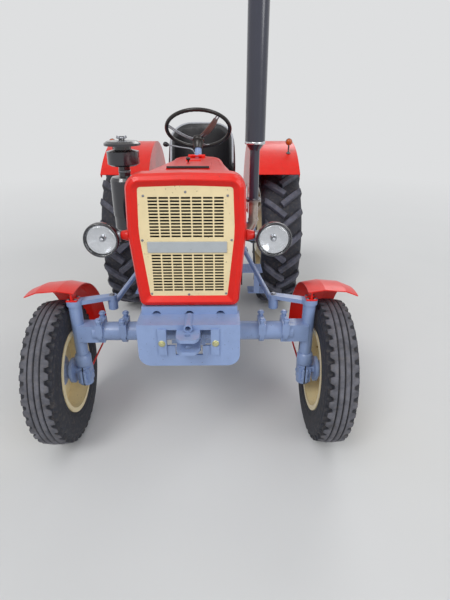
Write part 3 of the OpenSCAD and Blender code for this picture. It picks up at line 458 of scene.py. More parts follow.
def copies_tree(name, set_out, **extra):
    """A tree that sets copies of a part out, makes them real and gives them their finish."""
    tree = bpy.data.node_groups.new(name, "GeometryNodeTree")
    for label, kind in dict(Geometry="Geometry", Part="Object", Finish="Material", **extra).items():
        tree.interface.new_socket(name=label, in_out="INPUT", socket_type="NodeSocket" + kind)
    tree.interface.new_socket(name="Geometry", in_out="OUTPUT", socket_type="NodeSocketGeometry")
    inp = tree.nodes.new("NodeGroupInput").outputs
    part = add_node(tree, "GeometryNodeObjectInfo", {"Object": inp["Part"]})
    inputs = dict(set_out(tree, inp), Instance=part.outputs["Geometry"])
    put = add_node(tree, "GeometryNodeInstanceOnPoints", inputs)
    real = add_node(tree, "GeometryNodeRealizeInstances", {0: put.outputs[0]})
    inputs = {"Geometry": real.outputs[0], "Material": inp["Finish"]}
    add_node(tree, "NodeGroupOutput", {0: add_node(tree, "GeometryNodeSetMaterial", inputs).outputs[0]})
    return tree


def on_aims(tree, inp):
    """Copies on points, each turned along its point's aim and grown to its size."""
    kind = "GeometryNodeInputNamedAttribute"
    aim = add_node(tree, kind, {"Name": "aim"}, data_type="FLOAT_VECTOR").outputs["Attribute"]
    size = add_node(tree, kind, {"Name": "size"}, data_type="FLOAT").outputs["Attribute"]
    turn = add_node(tree, "FunctionNodeAlignRotationToVector", {"Vector": aim}, axis="Z")
    return {"Points": inp["Geometry"], "Rotation": turn.outputs["Rotation"], "Scale": size}


def round_x(tree, inp):
    """Copies round the X axis, evenly spaced."""
    line = add_node(tree, "GeometryNodeMeshLine", {"Count": inp["Count"], "Offset": (0, 0, 0)})
    index = add_node(tree, "GeometryNodeInputIndex").outputs[0]
    share = add_node(tree, "ShaderNodeMath", {0: index, 1: inp["Count"]}, operation="DIVIDE").outputs[0]
    angle = add_node(tree, "ShaderNodeMath", {0: share, 1: 2 * math.pi, 2: inp["Start"]},
                     operation="MULTIPLY_ADD").outputs[0]
    euler = add_node(tree, "ShaderNodeCombineXYZ", {"X": angle}).outputs[0]
    turn = add_node(tree, "FunctionNodeEulerToRotation", {0: euler}).outputs[0]
    return {"Points": line.outputs[0], "Rotation": turn}


def run_tree(obj, tree, **values):
    """Runs a tree on an object, its inputs set by identifier, and keeps the plain mesh."""
    mod = obj.modifiers.new("build", "NODES")
    mod.node_group = tree
    for item in tree.interface.items_tree:
        if item.in_out == "INPUT" and item.name in values:
            mod[item.identifier] = values[item.name]
    obj.update_tag()
    bpy.context.view_layer.update()
    return applied(obj)


def on_points(name, rows, part, finish, body="chassis"):
    """Fasteners of one kind on one body. Rows are (place, aim, size)."""
    mesh = bpy.data.meshes.new(name)
    mesh.from_pydata([tuple(r[0]) for r in rows], [], [])
    aims = mesh.attributes.new("aim", "FLOAT_VECTOR", "POINT")
    aims.data.foreach_set("vector", [c for r in rows for c in r[1]])
    sizes = mesh.attributes.new("size", "FLOAT", "POINT")
    sizes.data.foreach_set("value", [r[2] for r in rows])
    obj = run_tree(link_mesh(mesh), TREES["fasteners"], Part=PARTS[part], Finish=FINISH[finish])
    return piece(name, obj, finish, body)


def mirrored(rows):
    """The rows and their mirror images across the centre line."""
    return rows + [(Vector((-p[0], p[1], p[2])), Vector((-a[0], a[1], a[2])), s) for p, a, s in rows]


def ring_of(place, radius, count, size, along=0.0):
    """Fastener rows on a circle about a frame's Z, which they aim along."""
    aim = place.to_3x3() @ Z
    return [(place @ polar(radius, a, along), aim, size) for a in angles(count, 0.5)]


# Settings


def settings():
    return bpy.context.scene.tractor_looks


def paint_setting(name, about, screen):
    return bpy.props.FloatVectorProperty(name=name, description=about, subtype="COLOR", size=3,
                                         min=0, max=1, default=srgb(*screen)[:3])


def length_setting(name, about, default, low, high):
    return bpy.props.FloatProperty(name=name, description=about, unit="LENGTH", default=default,
                                   min=low, max=high)


class TractorLooks(bpy.types.PropertyGroup):
    red: paint_setting("Body red", "Colour of the mask, hood, dash and fenders", (222, 28, 16))
    cream: paint_setting("Cream", "Colour of the grille plate and the wheel rims", (232, 214, 168))
    grey: paint_setting("Blue grey", "Colour of the castings, axles and engine", (134, 155, 196))
    black: paint_setting("Black", "Colour of the exhaust, air cleaner and lamp shells", (26, 27, 36))
    bolt_radius: length_setting("Bolt head", "Radius of a common bolt's head", 0.0095, 0.005, 0.015)
    screw_radius: length_setting("Grille screw", "Radius of the grille's screws", 0.0051, 0.003, 0.01)
    lamp_radius: length_setting("Lamp glass", "Radius of the headlamp's glass", 0.0675, 0.05, 0.08)
    grip_radius: length_setting("Grip", "Radius of the steering wheel's grip", 0.0122, 0.01, 0.02)
    seat_shoulder: length_setting("Shoulder drop", "How far the seat back drops at its round shoulders",
                                  0.105, 0.0, 0.18)
    lug_count: bpy.props.IntProperty(
        name="Lugs", description="Lugs in each of a rear tyre's two rows", default=22, min=14, max=30)
    lug_angle: bpy.props.FloatProperty(
        name="Lug angle", description="Slant of a rear lug from the axle's direction, in degrees",
        default=40, min=25, max=55)


NODE_FINISH = {  # a star stands for the left node and the right one
    "red": "mask hood hatch dash rear_fenders front_mudguard_*",
    "slotted": "grille",
    "cream": "front_rim_* rear_rim_*",
    "grey": "front_support tow_bracket tow_jaw axle_beam engine_block cylinder_head fuel_pump dynamo "
            "starter steering_box gearbox rear_axle lift_housing drawbar footboards knuckle_* "
            "front_hub_* drag_link_* drop_arm_* lift_arms lift_rods lower_links",
    "black": "air_cleaner fuel_tank headlamps seat_frame controls",
    "sooty": "exhaust",
    "core": "radiator",
    "grip": "steering_wheel",
    "front_rubber": "front_tyre_*",
    "rear_rubber": "rear_tyre_*",
    "vinyl": "seat_back seat_cushion",
    "amber": "signal_lamps",
    "red_glass": "rear_lamps",
    "steel": "fan",
}


class TRACTOR_OT_finishes(bpy.types.Operator):
    """Makes the paints, rubbers, metals and glass, and gives each CAD piece its own"""
    bl_idname = "tractor.finishes"
    bl_label = "Finishes"

    def execute(self, context):
        s = settings()
        slot_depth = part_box("grille")[0].y + 0.0004
        FINISH.update(
            red=enamel("red_enamel", s.red, 0.06, gloss=0.3, coat=0.14, mirror=0.28),
            cream=enamel("cream_enamel", s.cream, 0.16),
            # the grille's slot walls are painted black behind its front face, as painted shade
            slotted=enamel("grille_enamel", s.cream, 0.1, hollow=slot_depth),
            grey=enamel("grey_enamel", s.grey, 0.12, brushed=0.12),
            black=enamel("black_enamel", s.black, 0.1, gloss=0.2, coat=0.8),
            plate=enamel("plate_grey", srgb(170, 176, 180), 0.05, gloss=0.4, coat=0.2),
            # black heat paint whose blue tint is a painted sky reflection
            sooty=burnt_pipe("heat_black", srgb(40, 42, 56), 1.193),
            front_rubber=rubber("front_rubber", FRONT_WHEEL, 0.372, 0.203, 0.945, srgb(106, 106, 114),
                                srgb(38, 40, 48)),
            rear_rubber=rubber("rear_rubber", REAR_WHEEL, 0.62, 0.356, 0.87, srgb(92, 94, 108),
                               srgb(36, 38, 48)),
            vinyl=leatherette("seat_vinyl", (28, 28, 31)),
            # black core paint, made darker still as painted shade seen through the grille
            core=moulded("radiator_core", (12, 12, 13), 0.7),
            grip=moulded("grip_black", (30, 24, 22), 0.32),
            # pale grey of the seat back's rolled edge is a painted highlight
            piping=moulded("seat_piping", (168, 171, 177), 0.35),
            hose=moulded("hose_rubber", (28, 28, 29), 0.6),
            knob=moulded("knob_black", (20, 20, 22), 0.25),
            dial=moulded("dial_face", (22, 24, 26)),
            mark=moulded("dial_marks", (226, 228, 222)),
            brown=moulded("spoke_cover", (104, 76, 70), 0.34),
            amber=clear_glass("amber_glass", (206, 92, 26), 0.25),
            red_glass=clear_glass("red_glass", (168, 22, 16), 0.2),
            glass=clear_glass("lamp_glass", (250, 251, 253), 1.0, ribs=46),
            mirror=bare_metal("reflector", (244, 246, 250), 0.12, 0.02),
            chrome=bare_metal("chrome", (214, 216, 220), 0.14, 0.03),
            steel=bare_metal("plain_steel", (150, 152, 158)),
            zinc=bare_metal("pale_zinc", (206, 204, 160)),
            brass=bare_metal("brass", (176, 142, 82), 0.32),
        )
        for finish, words in NODE_FINISH.items():
            for name in [w.replace("*", side) for w in words.split() for side in ("lr" if "*" in w else "-")]:
                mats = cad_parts[name].data.materials
                for i in range(len(mats)):
                    mats[i] = FINISH[finish]
                if not mats:
                    mats.append(FINISH[finish])
        return {"FINISHED"}


class TRACTOR_OT_parts(bpy.types.Operator):
    """Makes the small parts that repeat, each of unit radius, and the trees that set them out"""
    bl_idname = "tractor.parts"
    bl_label = "Small parts"

    def execute(self, context):
        TREES["fasteners"] = copies_tree("Fasteners on points", on_aims)
        TREES["ring"] = copies_tree("Copies round an axle", round_x, Count="Int", Start="Float")
        washer = lathe([(1.35, -0.25), (1.35, 0.12), (1.02, 0.16), (0, 0.16)], steps=16)
        head = lathe([(1, 0.1), (1, 0.616), (0.86, 0.7), (0, 0.7)], steps=6, smooth=False)
        PARTS["hex"] = joined([washer, head])
        PARTS["dome"] = lathe([(1, -0.2), (1, 0.08), (0.86, 0.34), (0.55, 0.52), (0.2, 0.58), (0, 0.58)],
                              steps=14)
        pan = lathe([(1, -0.2), (1, 0.3), (0.9, 0.42), (0.62, 0.46), (0, 0.46)], steps=16)
        PARTS["screw"] = joined([pan, block((-0.9, -0.11, 0.34), (0.9, 0.11, 0.475))])
        return {"FINISHED"}


# Lamps


class TRACTOR_OT_headlamps(bpy.types.Operator):
    """Headlamp glasses, reflectors, bulbs and rims, and the red stubs and clamps that carry them"""
    bl_idname = "tractor.headlamps"
    bl_label = "Headlamps"

    def execute(self, context):
        r = settings().lamp_radius
        lo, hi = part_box("headlamps")
        place = frame_at(Vector((hi.x - 0.075, lo.y, (lo.z + hi.z) / 2)), -Y)
        stub = Matrix.Translation(at(0.2482, -0.12, 1.14)) @ Matrix.Rotation(math.pi / 2, 4, "Y")
        bowl = mm(65.2, -3.4, 56, -7.8, 44, -13.2, 30, -18.6, 14, -23.2, 7, -24.2)
        bowl += [(x, h - 0.0008) for x, h in reversed(bowl)]
        dome = [((r - 0.002) * math.cos(t), 0.0125 * math.sin(t) - 0.001)
                for t in [math.pi / 2 * i / 12 for i in range(13)]]
        inner = [(max(x - 0.0022, 0), h - 0.0022) for x, h in reversed(dome)]
        lens = dome[:-1] + [(0, dome[-1][1]), (0, inner[0][1])] + inner[1:] + [dome[0]]
        rim = [(r + x, h) for x, h in mm(-2.5, -1, -1, 4.5, 3, 6.2, 6.8, 4, 8.8, -3, 8.4, -16, 7.6, -16,
                                         7.6, -4, -2.5, -1)]
        bulb = mm(0, -25, 6.8, -25, 6.8, -16.5, 8.8, -12.5, 8.8, -8.5, 5.5, -5.2, 0, -4.5)
        horn = mm(22.4, 0, 24.5, 1.5, 24.3, 7.5, 18.5, 33, 16.2, 37, 13.6, 37.2, 13.6, 34, 22.4, 6, 22.4, 0)
        clamp = mm(13.4, 38, 17.8, 38, 18.4, 39.5, 18.4, 51.5, 17.8, 53, 13.4, 53, 13.4, 38)
        ear = block((-0.0085, -0.0065, 0.0395), (0.0085, 0.0065, 0.0515),
                    stub @ Matrix.Translation((0.021, 0, 0)), 0.0015)
        piece("lamp_glasses", twins(lathe(lens, place, 72)), "glass")
        piece("lamp_reflectors", twins(lathe(bowl + bowl[:1], place, 72)), "mirror")
        piece("lamp_rims", twins(lathe(rim, place, 72)), "black")
        piece("lamp_bulbs", twins(lathe(bulb, place, 32)), "chrome")
        piece("lamp_stubs", twins(lathe(horn, stub, 40)), "red")
        piece("lamp_clamps", twins(lathe(clamp, stub, 40), ear), "steel")
        on_points("lamp_clamp_screws", mirrored([(at(0.2937, -0.1185, 1.1185), -Y, 0.0048)]), "hex", "zinc")
        return {"FINISHED"}


def on_fender(x, back):
    """Frame on a rear fender's top sheet, back degrees behind its top, its Z straight out of it."""
    turn = Matrix.Rotation(-math.radians(back), 4, "X")
    return Matrix.Translation(Vector((x, FENDER_Y, FENDER_Z)) + turn @ (FENDER_TOP * Z)) @ turn


class TRACTOR_OT_signals(bpy.types.Operator):
    """Round amber signal lamps on stems and the red lamps behind"""
    bl_idname = "tractor.signals"
    bl_label = "Signal lamps"

    def execute(self, context):
        foot, rear = on_fender(0.65, -23), on_fender(0.62, 62)
        base = foot.translation
        ball = base + 0.081 * Z
        bulge = [(0.0225 * math.cos(t), 0.0045 + 0.0175 * math.sin(t))
                 for t in [math.pi / 2 * i / 8 for i in range(1, 8)]]
        lens = mm(0, 3.5, 21.5, 3.5, 22.5, 4.5) + bulge + [(0, 0.022)]
        lenses = piece("signal_lenses", twins(*[lathe(lens, frame_at(ball, way), 40) for way in (-Y, Y)]),
                       "amber")
        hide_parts("signal_lamps")
        belt = lathe(mm(0, -4.5, 23.5, -4.5, 24.5, -3, 24.5, 3, 23.5, 4.5, 0, 4.5), frame_at(ball, -Y), 40)
        stem = tube([base + 0.001 * Z, base + 0.035 * Z, ball - 0.023 * Z], 0.0052, 14)
        plate = lathe(mm(0, 0, 15.5, 0, 15.5, 3.5, 12, 6, 8.5, 12, 0, 13), foot, 32)
        piece("signal_stems", twins(belt, stem, plate), "black")
        glass = lathe(mm(0, 12, 37.5, 12, 37.5, 17.5, 35.5, 23.5, 32.5, 26.2, 30.5, 25.8, 28.5, 28.2,
                         24.5, 29.8, 22.5, 29.2, 20.5, 31.2, 14.5, 32.5, 12.5, 31.8, 10.5, 33.2, 0, 34),
                      rear, 56)
        tub = lathe(mm(0, 0.5, 38.5, 0.5, 41.5, 4, 41.5, 13.5, 39.5, 17.2, 37.2, 17.2, 37.2, 12, 0, 12),
                    rear, 56)
        lenses = piece("rear_lamp_lenses", twins(glass), "red_glass")
        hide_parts("rear_lamps")
        piece("rear_lamp_tubs", twins(tub), "black")
        return {"FINISHED"}


# Fasteners, engine and driver's place


class TRACTOR_OT_fasteners(bpy.types.Operator):
    """Bolts and nuts of the axle, engine, gearbox, rear axle, bracket and steering joints"""
    bl_idname = "tractor.fasteners"
    bl_label = "Bolts and nuts"

    def execute(self, context):
        big = settings().bolt_radius
        gear_y, rear_y, head_z = 1.27, REAR_AXLE_Y - FRONT_AXLE_Y, 1.105
        rows = [(at(x, y, 0.688), Z, big * 1.35) for x in (0.343, 0.461) for y in (-0.043, 0.043)]
        rows += [(at(0.176, 0.7003, z), -Y, big * 0.76) for z in (0.56, 0.62, 0.68, 0.74, 0.8)]
        rows += [(at(0.156, rear_y - 0.216, z), -Y, 0.0052) for z in (0.48, 0.56, 0.64, 0.72, 0.79)]
        rows += ring_of(frame_at(at(0.158, gear_y, 0.66), X), 0.071, 6, big * 0.78)
        rows += ring_of(frame_at(at(0.21, rear_y, 0.62), X), 0.134, 10, big * 0.95)
        rows += [(at(0.138, y0 + dy, z), X, 0.0062) for y0 in (0.21, 0.42) for dy in (0.018, 0.152)
                 for z in (0.856, 0.932)]
        rows += [(at(0.101, 0.21 + 0.06 * i, 1.065), Z, big * 0.85) for i in range(7)]
        rows += [(at(0.072, 0.136, z), -Y, 0.0058) for z in (0.6, 0.66, 0.72)]
        rows += [(at(0.105, y, 1.035), Z, big * 0.85) for y in (0.72, 0.85)]
        rows += [(at(0.118, rear_y + dy, 0.94), Z, big * 0.9) for dy in (-0.09, 0.01, 0.11)]
        rows += [(at(0.115, y, z), X, big) for y in (0.02, 0.12) for z in (0.70, 0.765)]
        rows += [(at(0.150, rear_y + dy, 0.8), Z, big * 0.9) for dy in (-0.12, 0.12)]
        on_points("painted_bolts", mirrored(rows), "hex", "grey")

        rows = [(at(0.116, -0.308, 0.711), -Y, big * 1.2)]
        rows += [(at(0.2, y, 0.834), Z, big * 0.8) for y in (-0.15, 0.05)]
        on_points("bracket_bolts", mirrored(rows), "hex", "zinc")
        rows = [(at(0, y + dy, head_z), Z, big * 0.95) for y in (0.3, 0.51) for dy in (-0.045, 0.045)]
        rows += [(at(*EXHAUST, 1.209) + Vector((0.031 * c, 0.031 * s, 0)), Z, 0.0055)
                 for c, s in ((0.866, 0.5), (-0.866, 0.5), (0, -1))]
        on_points("steel_nuts", rows, "hex", "steel")

        for side, label, short in SIDES:
            rows = [(at(side * x, y, 0.789), Z, 0.0068) for x in (0.564, 0.597) for y in (-0.018, 0.018)]
            rows += [(at(side * 0.407, 0.07, 0.775), Z, 0.0115)]
            on_points("knuckle_bolts_" + short, rows, "hex", "steel", "knuckle_" + label)
            rows = [(at(side * 0.311, 0.79, 0.77), side * X, 0.0125)]
            on_points("drag_link_nut_" + short, rows, "hex", "steel", "drag_link_" + label)
        return {"FINISHED"}


class TRACTOR_OT_knuckle_clamps(bpy.types.Operator):
    """Cups, split clamps and pinch bolts of the steering knuckles"""
    bl_idname = "tractor.knuckle_clamps"
    bl_label = "Knuckle clamps"

    def execute(self, context):
        for side, label, short in SIDES:
            foot = Matrix.Translation(at(side * KINGPIN_X, 0, 0))
            body = "knuckle_" + label
            cup = lathe(mm(30.5, 414, 38.5, 414, 41.2, 418, 41.2, 462, 39.2, 468, 35, 477, 30.5, 479,
                           30.5, 414), foot, 44)
            ears = [block((s * 0.0088 - 0.0062, -0.0515, 0.318), (s * 0.0088 + 0.0062, -0.028, 0.394),
                          foot, 0.004, 3) for s in BOTH]
            piece("knuckle_cup_" + short, [cup] + ears, "grey", body)
            # painted shade: a black sheet between the clamp's ears stands for the shaded slit
            split = block((-0.0023, -0.0405, 0.3008), (0.0023, -0.03, 0.4092), foot)
            piece("knuckle_split_" + short, split, "hose", body)
            rows = [(at(side * KINGPIN_X + s * 0.015, -0.0425, z), s * X, 0.0074)
                    for s in BOTH for z in (0.337, 0.375)]
            rows += [(at(side * 0.543, y, 0.356), -side * X, 0.0078) for y in (-0.018, 0.018)]
            on_points("knuckle_pinch_bolts_" + short, rows, "hex", "grey", body)
        return {"FINISHED"}


def band(place, radius, width=0.009):
    """Hose or pipe clamp with its ears and screw, about Z."""
    outer, w, ear_x = radius + 0.0012, width / 2, radius + 0.006
    ring = lathe([(radius, -w), (outer, -w), (outer, w), (radius, w), (radius, -w)], place, 36)
    ears = [block((radius - 0.001, s * 0.0036 - 0.001, -w), (radius + 0.0105, s * 0.0036 + 0.001, w),
                  place, 0.0004) for s in BOTH]
    screw = tube([place @ Vector((ear_x, s * 0.008, 0)) for s in BOTH], 0.0024, 8)
    return joined([ring, screw] + ears)


class TRACTOR_OT_engine_pipes(bpy.types.Operator):
    """Water hoses, injector pipes, fuel filter, dipstick, wiring and clamps round the engine"""
    bl_idname = "tractor.engine_pipes"
    bl_label = "Engine pipes"

    def execute(self, context):
        top = route(50, -22, 1300, 50, 30, 1302, 50, 95, 1290, 52, 150, 1235, 52, 180, 1160, 52, 182, 1066)
        low = route(-105, -22, 862, -105, 50, 860, -105, 120, 862, -105, 182, 862)
        piece("water_hoses", [tube(top, 0.0185, 20), tube(low, 0.0175, 20)], "hose")
        clamps = [band(frame_at(spot, axis), r) for spot, axis, r in
                  ((top[0] + 0.014 * Y, Y, 0.0187), (top[-1] + 0.016 * Z, Z, 0.0187),
                   (low[0] + 0.014 * Y, Y, 0.0177), (low[-1] - 0.014 * Y, Y, 0.0177))]
        clamps.append(band(frame_at(at(*CLEANER, 1.36), Z, 2.2), 0.0274, 0.011))
        piece("hose_clamps", clamps, "steel")

        pipes, unions = [], []
        for start, end in ((365, 300), (450, 510)):
            pipes.append(tube(route(200, start, 820, 200, start, 875, 188, start, 950, 158, (start + end) / 2,
                                    1050, 130, end, 1105, 112, end, 1115, 104, end, 1098), 0.0032, 10))
            unions += [lathe(mm(0, 0, 9.5, 0, 9.5, 11, 6.2, 14, 5.5, 20, 0, 20),
                             frame_at(at(0.2, start / 1000, 0.8195), Z), 6, smooth=False),
                       lathe(mm(0, -4, 12.5, -4, 12.5, 9, 8.5, 12, 8.5, 30, 6, 34, 0, 34),
                             frame_at(at(0.104, end / 1000, 1.066), Z), 16)]
        pipes += [tube(route(207, 330, 760, 207, 310, 800, 205, 260, 860, 190, 240, 915), 0.0042, 10),
                  tube(route(170, 190, 1000, 165, 190, 1060, 160, 230, 1130, 120, 330, 1158), 0.0042, 10)]
        piece("fuel_pipes", pipes, "steel")
        piece("fuel_unions", unions, "zinc")
        can = lathe(mm(0, 0, 14, 0, 20, 6, 36, 12, 38.5, 22, 38.5, 98, 42.5, 100, 42.5, 112, 36, 120,
                       16, 126, 10.5, 136, 0, 137), frame_at(at(0.182, 0.215, 0.862), Z), 40)
        arm = block(at(0.136, 0.198, 0.963), at(0.16, 0.232, 0.977), bevel=0.002)
        piece("fuel_filter", [can, arm], "grey")
        loop = [at(0.166, 0.642, 0.928) + Vector((0.012 * math.sin(a), 0, -0.012 * math.cos(a)))
                for a in angles(20)]
        piece("dipstick", [tube(route(158, 630, 800, 160, 632, 840, 165, 640, 900), 0.0042, 10),
                           tube(route(165, 640, 898, 166, 642, 915), 0.0062, 10),
                           tube(loop, 0.0018, 8, curved=False, closed=True)], "steel")
        piece("lamp_leads", [tube(route(s * 368, -61, 1122, s * 345, -45, 1100, s * 300, -55, 1088,
                                        s * 262, -70, 1098, s * 243, -82, 1105), 0.0032, 10) for s in BOTH],
              "hose")
        nut = frame_at(at(*CLEANER, 1.5), Z, 0.5)
        wing = [lathe(mm(0, 0, 13, 0, 12.5, 9, 9.5, 15.5, 0, 16), nut, 24)]
        for s in BOTH:
            lobe = nut @ Matrix.Translation((s * 0.0165, 0, 0.0105)) @ Matrix.Rotation(s * -0.45, 4, "Y")
            wing.append(block((-0.0085, -0.0022, -0.0065), (0.0085, 0.0022, 0.0065), lobe, 0.0021, 3))
        piece("cleaner_wing_nut", wing, "steel")
        piece("muffler_rim", lathe(mm(47, 1472, 48.6, 1472, 49.8, 1474.5, 49.8, 1481.5, 48.6, 1484, 47, 1484,
                                      47, 1472), Matrix.Translation(at(*EXHAUST, 0)), 56), "chrome")
        return {"FINISHED"}


class TRACTOR_OT_drivers_place(bpy.types.Operator):
    """Dials, switch and lamp on the dash, pedal pads, non-slip studs and lever caps"""
    bl_idname = "tractor.drivers_place"
    bl_label = "Driver's place"

    def execute(self, context):
        rings, faces, marks, glass = [], [], [], []
        for x, z, r in ((0.0, 1.29, 0.036), (-0.094, 1.272, 0.027), (0.094, 1.272, 0.027)):
            place = frame_at(Vector((x, DASH_Y, z)), Y)
            bezel = [(r + dr, h) for dr, h in mm(0, -2, 4, -2, 4.5, 4, 2, 7.5, -1, 7.2, 0, 4, 0, -2)]
            rings.append(lathe(bezel, place, 48))
            faces.append(lathe([(0, -0.002), (r, -0.002), (r, 0.0022), (0, 0.0022)], place, 48))
            glass.append(lathe([(0, 0.0048), (r, 0.0048), (r, 0.0058), (r * 0.6, 0.0066), (0, 0.007)],
                               place, 48))
            for i in range(11):
                turn = place @ Matrix.Rotation(math.radians(-130 + 26 * i), 4, "Z")
                foot = r * (0.9 - (0.26 if i % 5 == 0 else 0.15))
                marks.append(block((-0.0006, foot, 0.0021), (0.0006, r * 0.9, 0.0026), turn))
            needle = place @ Matrix.Rotation(math.radians(-52), 4, "Z")
            marks.append(block((-0.0007, -r * 0.12, 0.0031), (0.0007, r * 0.72, 0.0038), needle))
        piece("dial_rings", rings, "chrome")
        piece("dial_faces", faces, "dial")
        piece("dial_marks", marks, "mark")
        piece("dial_glasses", glass, "glass")
        lock, lamp = [frame_at(Vector((x, DASH_Y, 1.205)), Y) for x in (-0.088, 0.088)]
        key = lathe(mm(0, -2, 13, -2, 13, 5, 11, 9, 8.5, 9.5, 8.5, 16, 0, 16.5), lock, 28)
        bow = block((-0.0014, -0.009, 0.012), (0.0014, 0.009, 0.034), lock, 0.001)
        piece("key_switch", [key, bow], "steel")
        piece("charge_lamp", lathe(mm(0, -2, 11, -2, 11, 4, 8.5, 9, 4, 11.5, 0, 12), lamp, 28), "red_glass")

        pads = [block(at(0.197, 0.9585, 0.647), at(0.283, 0.978, 0.713), bevel=0.004, segments=3)]
        pads += [block(at(0.203, 0.9775, 0.654 + 0.0115 * i), at(0.277, 0.9808, 0.6595 + 0.0115 * i),
                       bevel=0.0014) for i in range(5)]
        piece("pedal_pads", twins(*pads), "hose")
        studs = [(at(0.2 + 0.021 * i, 0.972 + 0.021 * j, 0.551), Z, 0.0048)
                 for i in range(12) for j in range(8)]
        studs += [(at(0.352 + 0.0195 * i, 0.97 + 0.02 * j, 0.391), Z, 0.0044)
                  for i in range(7) for j in range(6)]
        on_points("step_studs", mirrored(studs), "dome", "grey")
        folds = mm(0, 0, 36.5, 0, 37.5, 4, 34, 11, 37, 16, 30, 23, 32.5, 28, 24.5, 35, 26.5, 40, 16.5, 49,
                   9.5, 53, 0, 53)
        piece("lever_gaiters", [lathe(folds, frame_at(at(x, 1.19, 0.8205), Z), 36) for x in (0.062, -0.062)],
              "hose")
        return {"FINISHED"}


# Sheet metal and hitch


def arc_points(x, radius, start, stop, count):
    """Points on an arc about the rear fender's centre, angles in degrees behind its top."""
    return [Vector((x, FENDER_Y + radius * math.sin(a), FENDER_Z + radius * math.cos(a)))
            for a in [math.radians(start + (stop - start) * i / count) for i in range(count + 1)]]


class TRACTOR_OT_fender_beads(bpy.types.Operator):
    """Rolled wire edges of the rear fenders and rivets of their inner sheets"""
    bl_idname = "tractor.fender_beads"
    bl_label = "Fender edges"

    def execute(self, context):
        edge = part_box("rear_fenders")[1].x
        piece("fender_beads", [tube(arc_points(s * (edge - 0.0015), 0.7365, -40.2, 67.7, 54), 0.0042, 10,
                                    curved=False) for s in BOTH], "red")
        rivets = [(p, s * X, 0.0055) for s in BOTH for p in arc_points(s * edge, 0.7525, -36, 64, 9)]
        on_points("fender_rivets", rivets, "dome", "red")
        return {"FINISHED"}


class TRACTOR_OT_hitch(bpy.types.Operator):
    """Ball rings, adjusting sleeves, shaft caps and the shaft guard of the rear hitch"""
    bl_idname = "tractor.hitch"
    bl_label = "Rear hitch"

    def execute(self, context):
        lo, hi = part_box("lower_links")
        rod_lo, rod_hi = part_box("lift_rods")
        rings, sleeves, caps = [], [], []
        w = 0.0135
        ring = [(0.0113, -w), (0.0165, -w), (0.0205, 0.004 - w)]
        ring += [(r, -h) for r, h in reversed(ring)] + ring[:1]
        for side in BOTH:
            eye = Vector((side * (hi.x - 0.01), hi.y - 0.026, (lo.z + hi.z) / 2))
            rings.append(lathe(ring, frame_at(eye, side * X), 36))
            x = side * (rod_hi.x - 0.007)
            top = Vector((x, rod_lo.y + 0.02, rod_hi.z - 0.02))
            run = Vector((x, rod_hi.y - 0.02, rod_lo.z + 0.02)) - top
            length = 0.34 * run.length
            end = mm(7.1, 0, 13.5, 0, 14.5, 3, 14.5, 12, 11.5, 15)
            sleeves.append(lathe(end + [(r, length - h) for r, h in reversed(end)] + end[:1],
                                 frame_at(top + 0.2 * run, run.normalized()), 24))
            caps.append(lathe(mm(0, 0, 24.5, 0, 24.5, 4, 21, 8.5, 8.5, 10.5, 0, 10.8),
                              frame_at(Vector((side * 0.189, REAR_AXLE_Y + 0.12, 0.885)), side * X), 32))
        piece("link_ball_rings", rings, "steel", "lower_links")
        piece("rod_sleeves", sleeves, "steel", "lift_rods")
        piece("lift_shaft_caps", caps, "steel", "lift_arms")
        guard = mm(30, 0, 40, 0, 42, 4, 42, 58, 39, 62, 36, 62, 38, 56, 38, 6, 30, 6, 30, 0)
        piece("shaft_guard", lathe(guard, frame_at(Vector((0, REAR_AXLE_Y + 0.1702, 0.64)), Y), 48), "grey")
        return {"FINISHED"}


class TRACTOR_OT_hood_trim(bpy.types.Operator):
    """Side grips of the hood"""
    bl_idname = "tractor.hood_trim"
    bl_label = "Hood trim"

    def execute(self, context):
        grips = [tube(route(s * 216.5, 60, 1160, s * 232.5, 64, 1162, s * 236, 100, 1158,
                            s * 229.5, 136, 1154, s * 212.5, 140, 1153), 0.0045, 12) for s in BOTH]
        piece("hood_grips", grips, "black", "hood")
        return {"FINISHED"}


class TRACTOR_OT_nose_trim(bpy.types.Operator):
    """Blank plate and screws of the grille, beads of the mask, and the hatch's strip and knob"""
    bl_idname = "tractor.nose_trim"
    bl_label = "Nose trim"

    def execute(self, context):
        r, y = settings().screw_radius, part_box("grille")[0].y
        plate = block((-0.167, y - 0.0045, 1.082), (0.167, y + 0.001, 1.130), bevel=0.0018)
        piece("badge_plate", plate, "plate")
        lip = block((-0.186, y - 0.0022, 1.0768), (0.186, y + 0.001, 1.0802), bevel=0.001)
        piece("plate_lip", lip, "cream")
        spots = mm(0, 1334.5, 0, 889, 169, 1319.5, -169, 1319.5, 186, 1136, -186, 1136, 163, 893, -163, 893)
        on_points("grille_screws", [(Vector((x, y, z)), -Y, r) for x, z in spots], "screw", "steel")
        lo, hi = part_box("hatch")
        strip = [Vector((lo.x + 0.003, lo.y + 0.004, hi.z + 0.0005)),
                 Vector((0, lo.y + 0.003, hi.z + 0.0012)),
                 Vector((hi.x - 0.003, lo.y + 0.004, hi.z + 0.0005))]
        piece("hatch_strip", tube(strip, 0.0058, 12), "hose", "hatch")
        knob = lathe(mm(4, -3, 4, 10, 10.5, 14, 11.5, 21, 8, 26, 0, 27),
                     frame_at(Vector((-0.02, lo.y + 0.33, hi.z - 0.0205)), Z), 28)
        piece("hatch_knob", knob, "knob", "hatch")
        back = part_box("mask")[1].y + 0.0015
        beads = [tube([Vector((s * 0.2345, back, z)) for z in (0.90, 1.0, 1.1)], 0.0028, 8, curved=False)
                 for s in BOTH]
        piece("mask_back_bead", beads, "hose")
        return {"FINISHED"}


# Wheels


def ring_form(rows_at, steps, place):
    """Closed ring about Z whose outline, (radius, height) pairs, may change with the step."""
    return skinned([[place @ polar(r, a, h) for r, h in rows_at(i)] for i, a in enumerate(angles(steps))])


def both_halves(rows):
    """Whole outline of a tyre from its half, bead first."""
    return [(r, -h) for r, h in rows] + [(r, h) for r, h in reversed(rows) if h > 0]


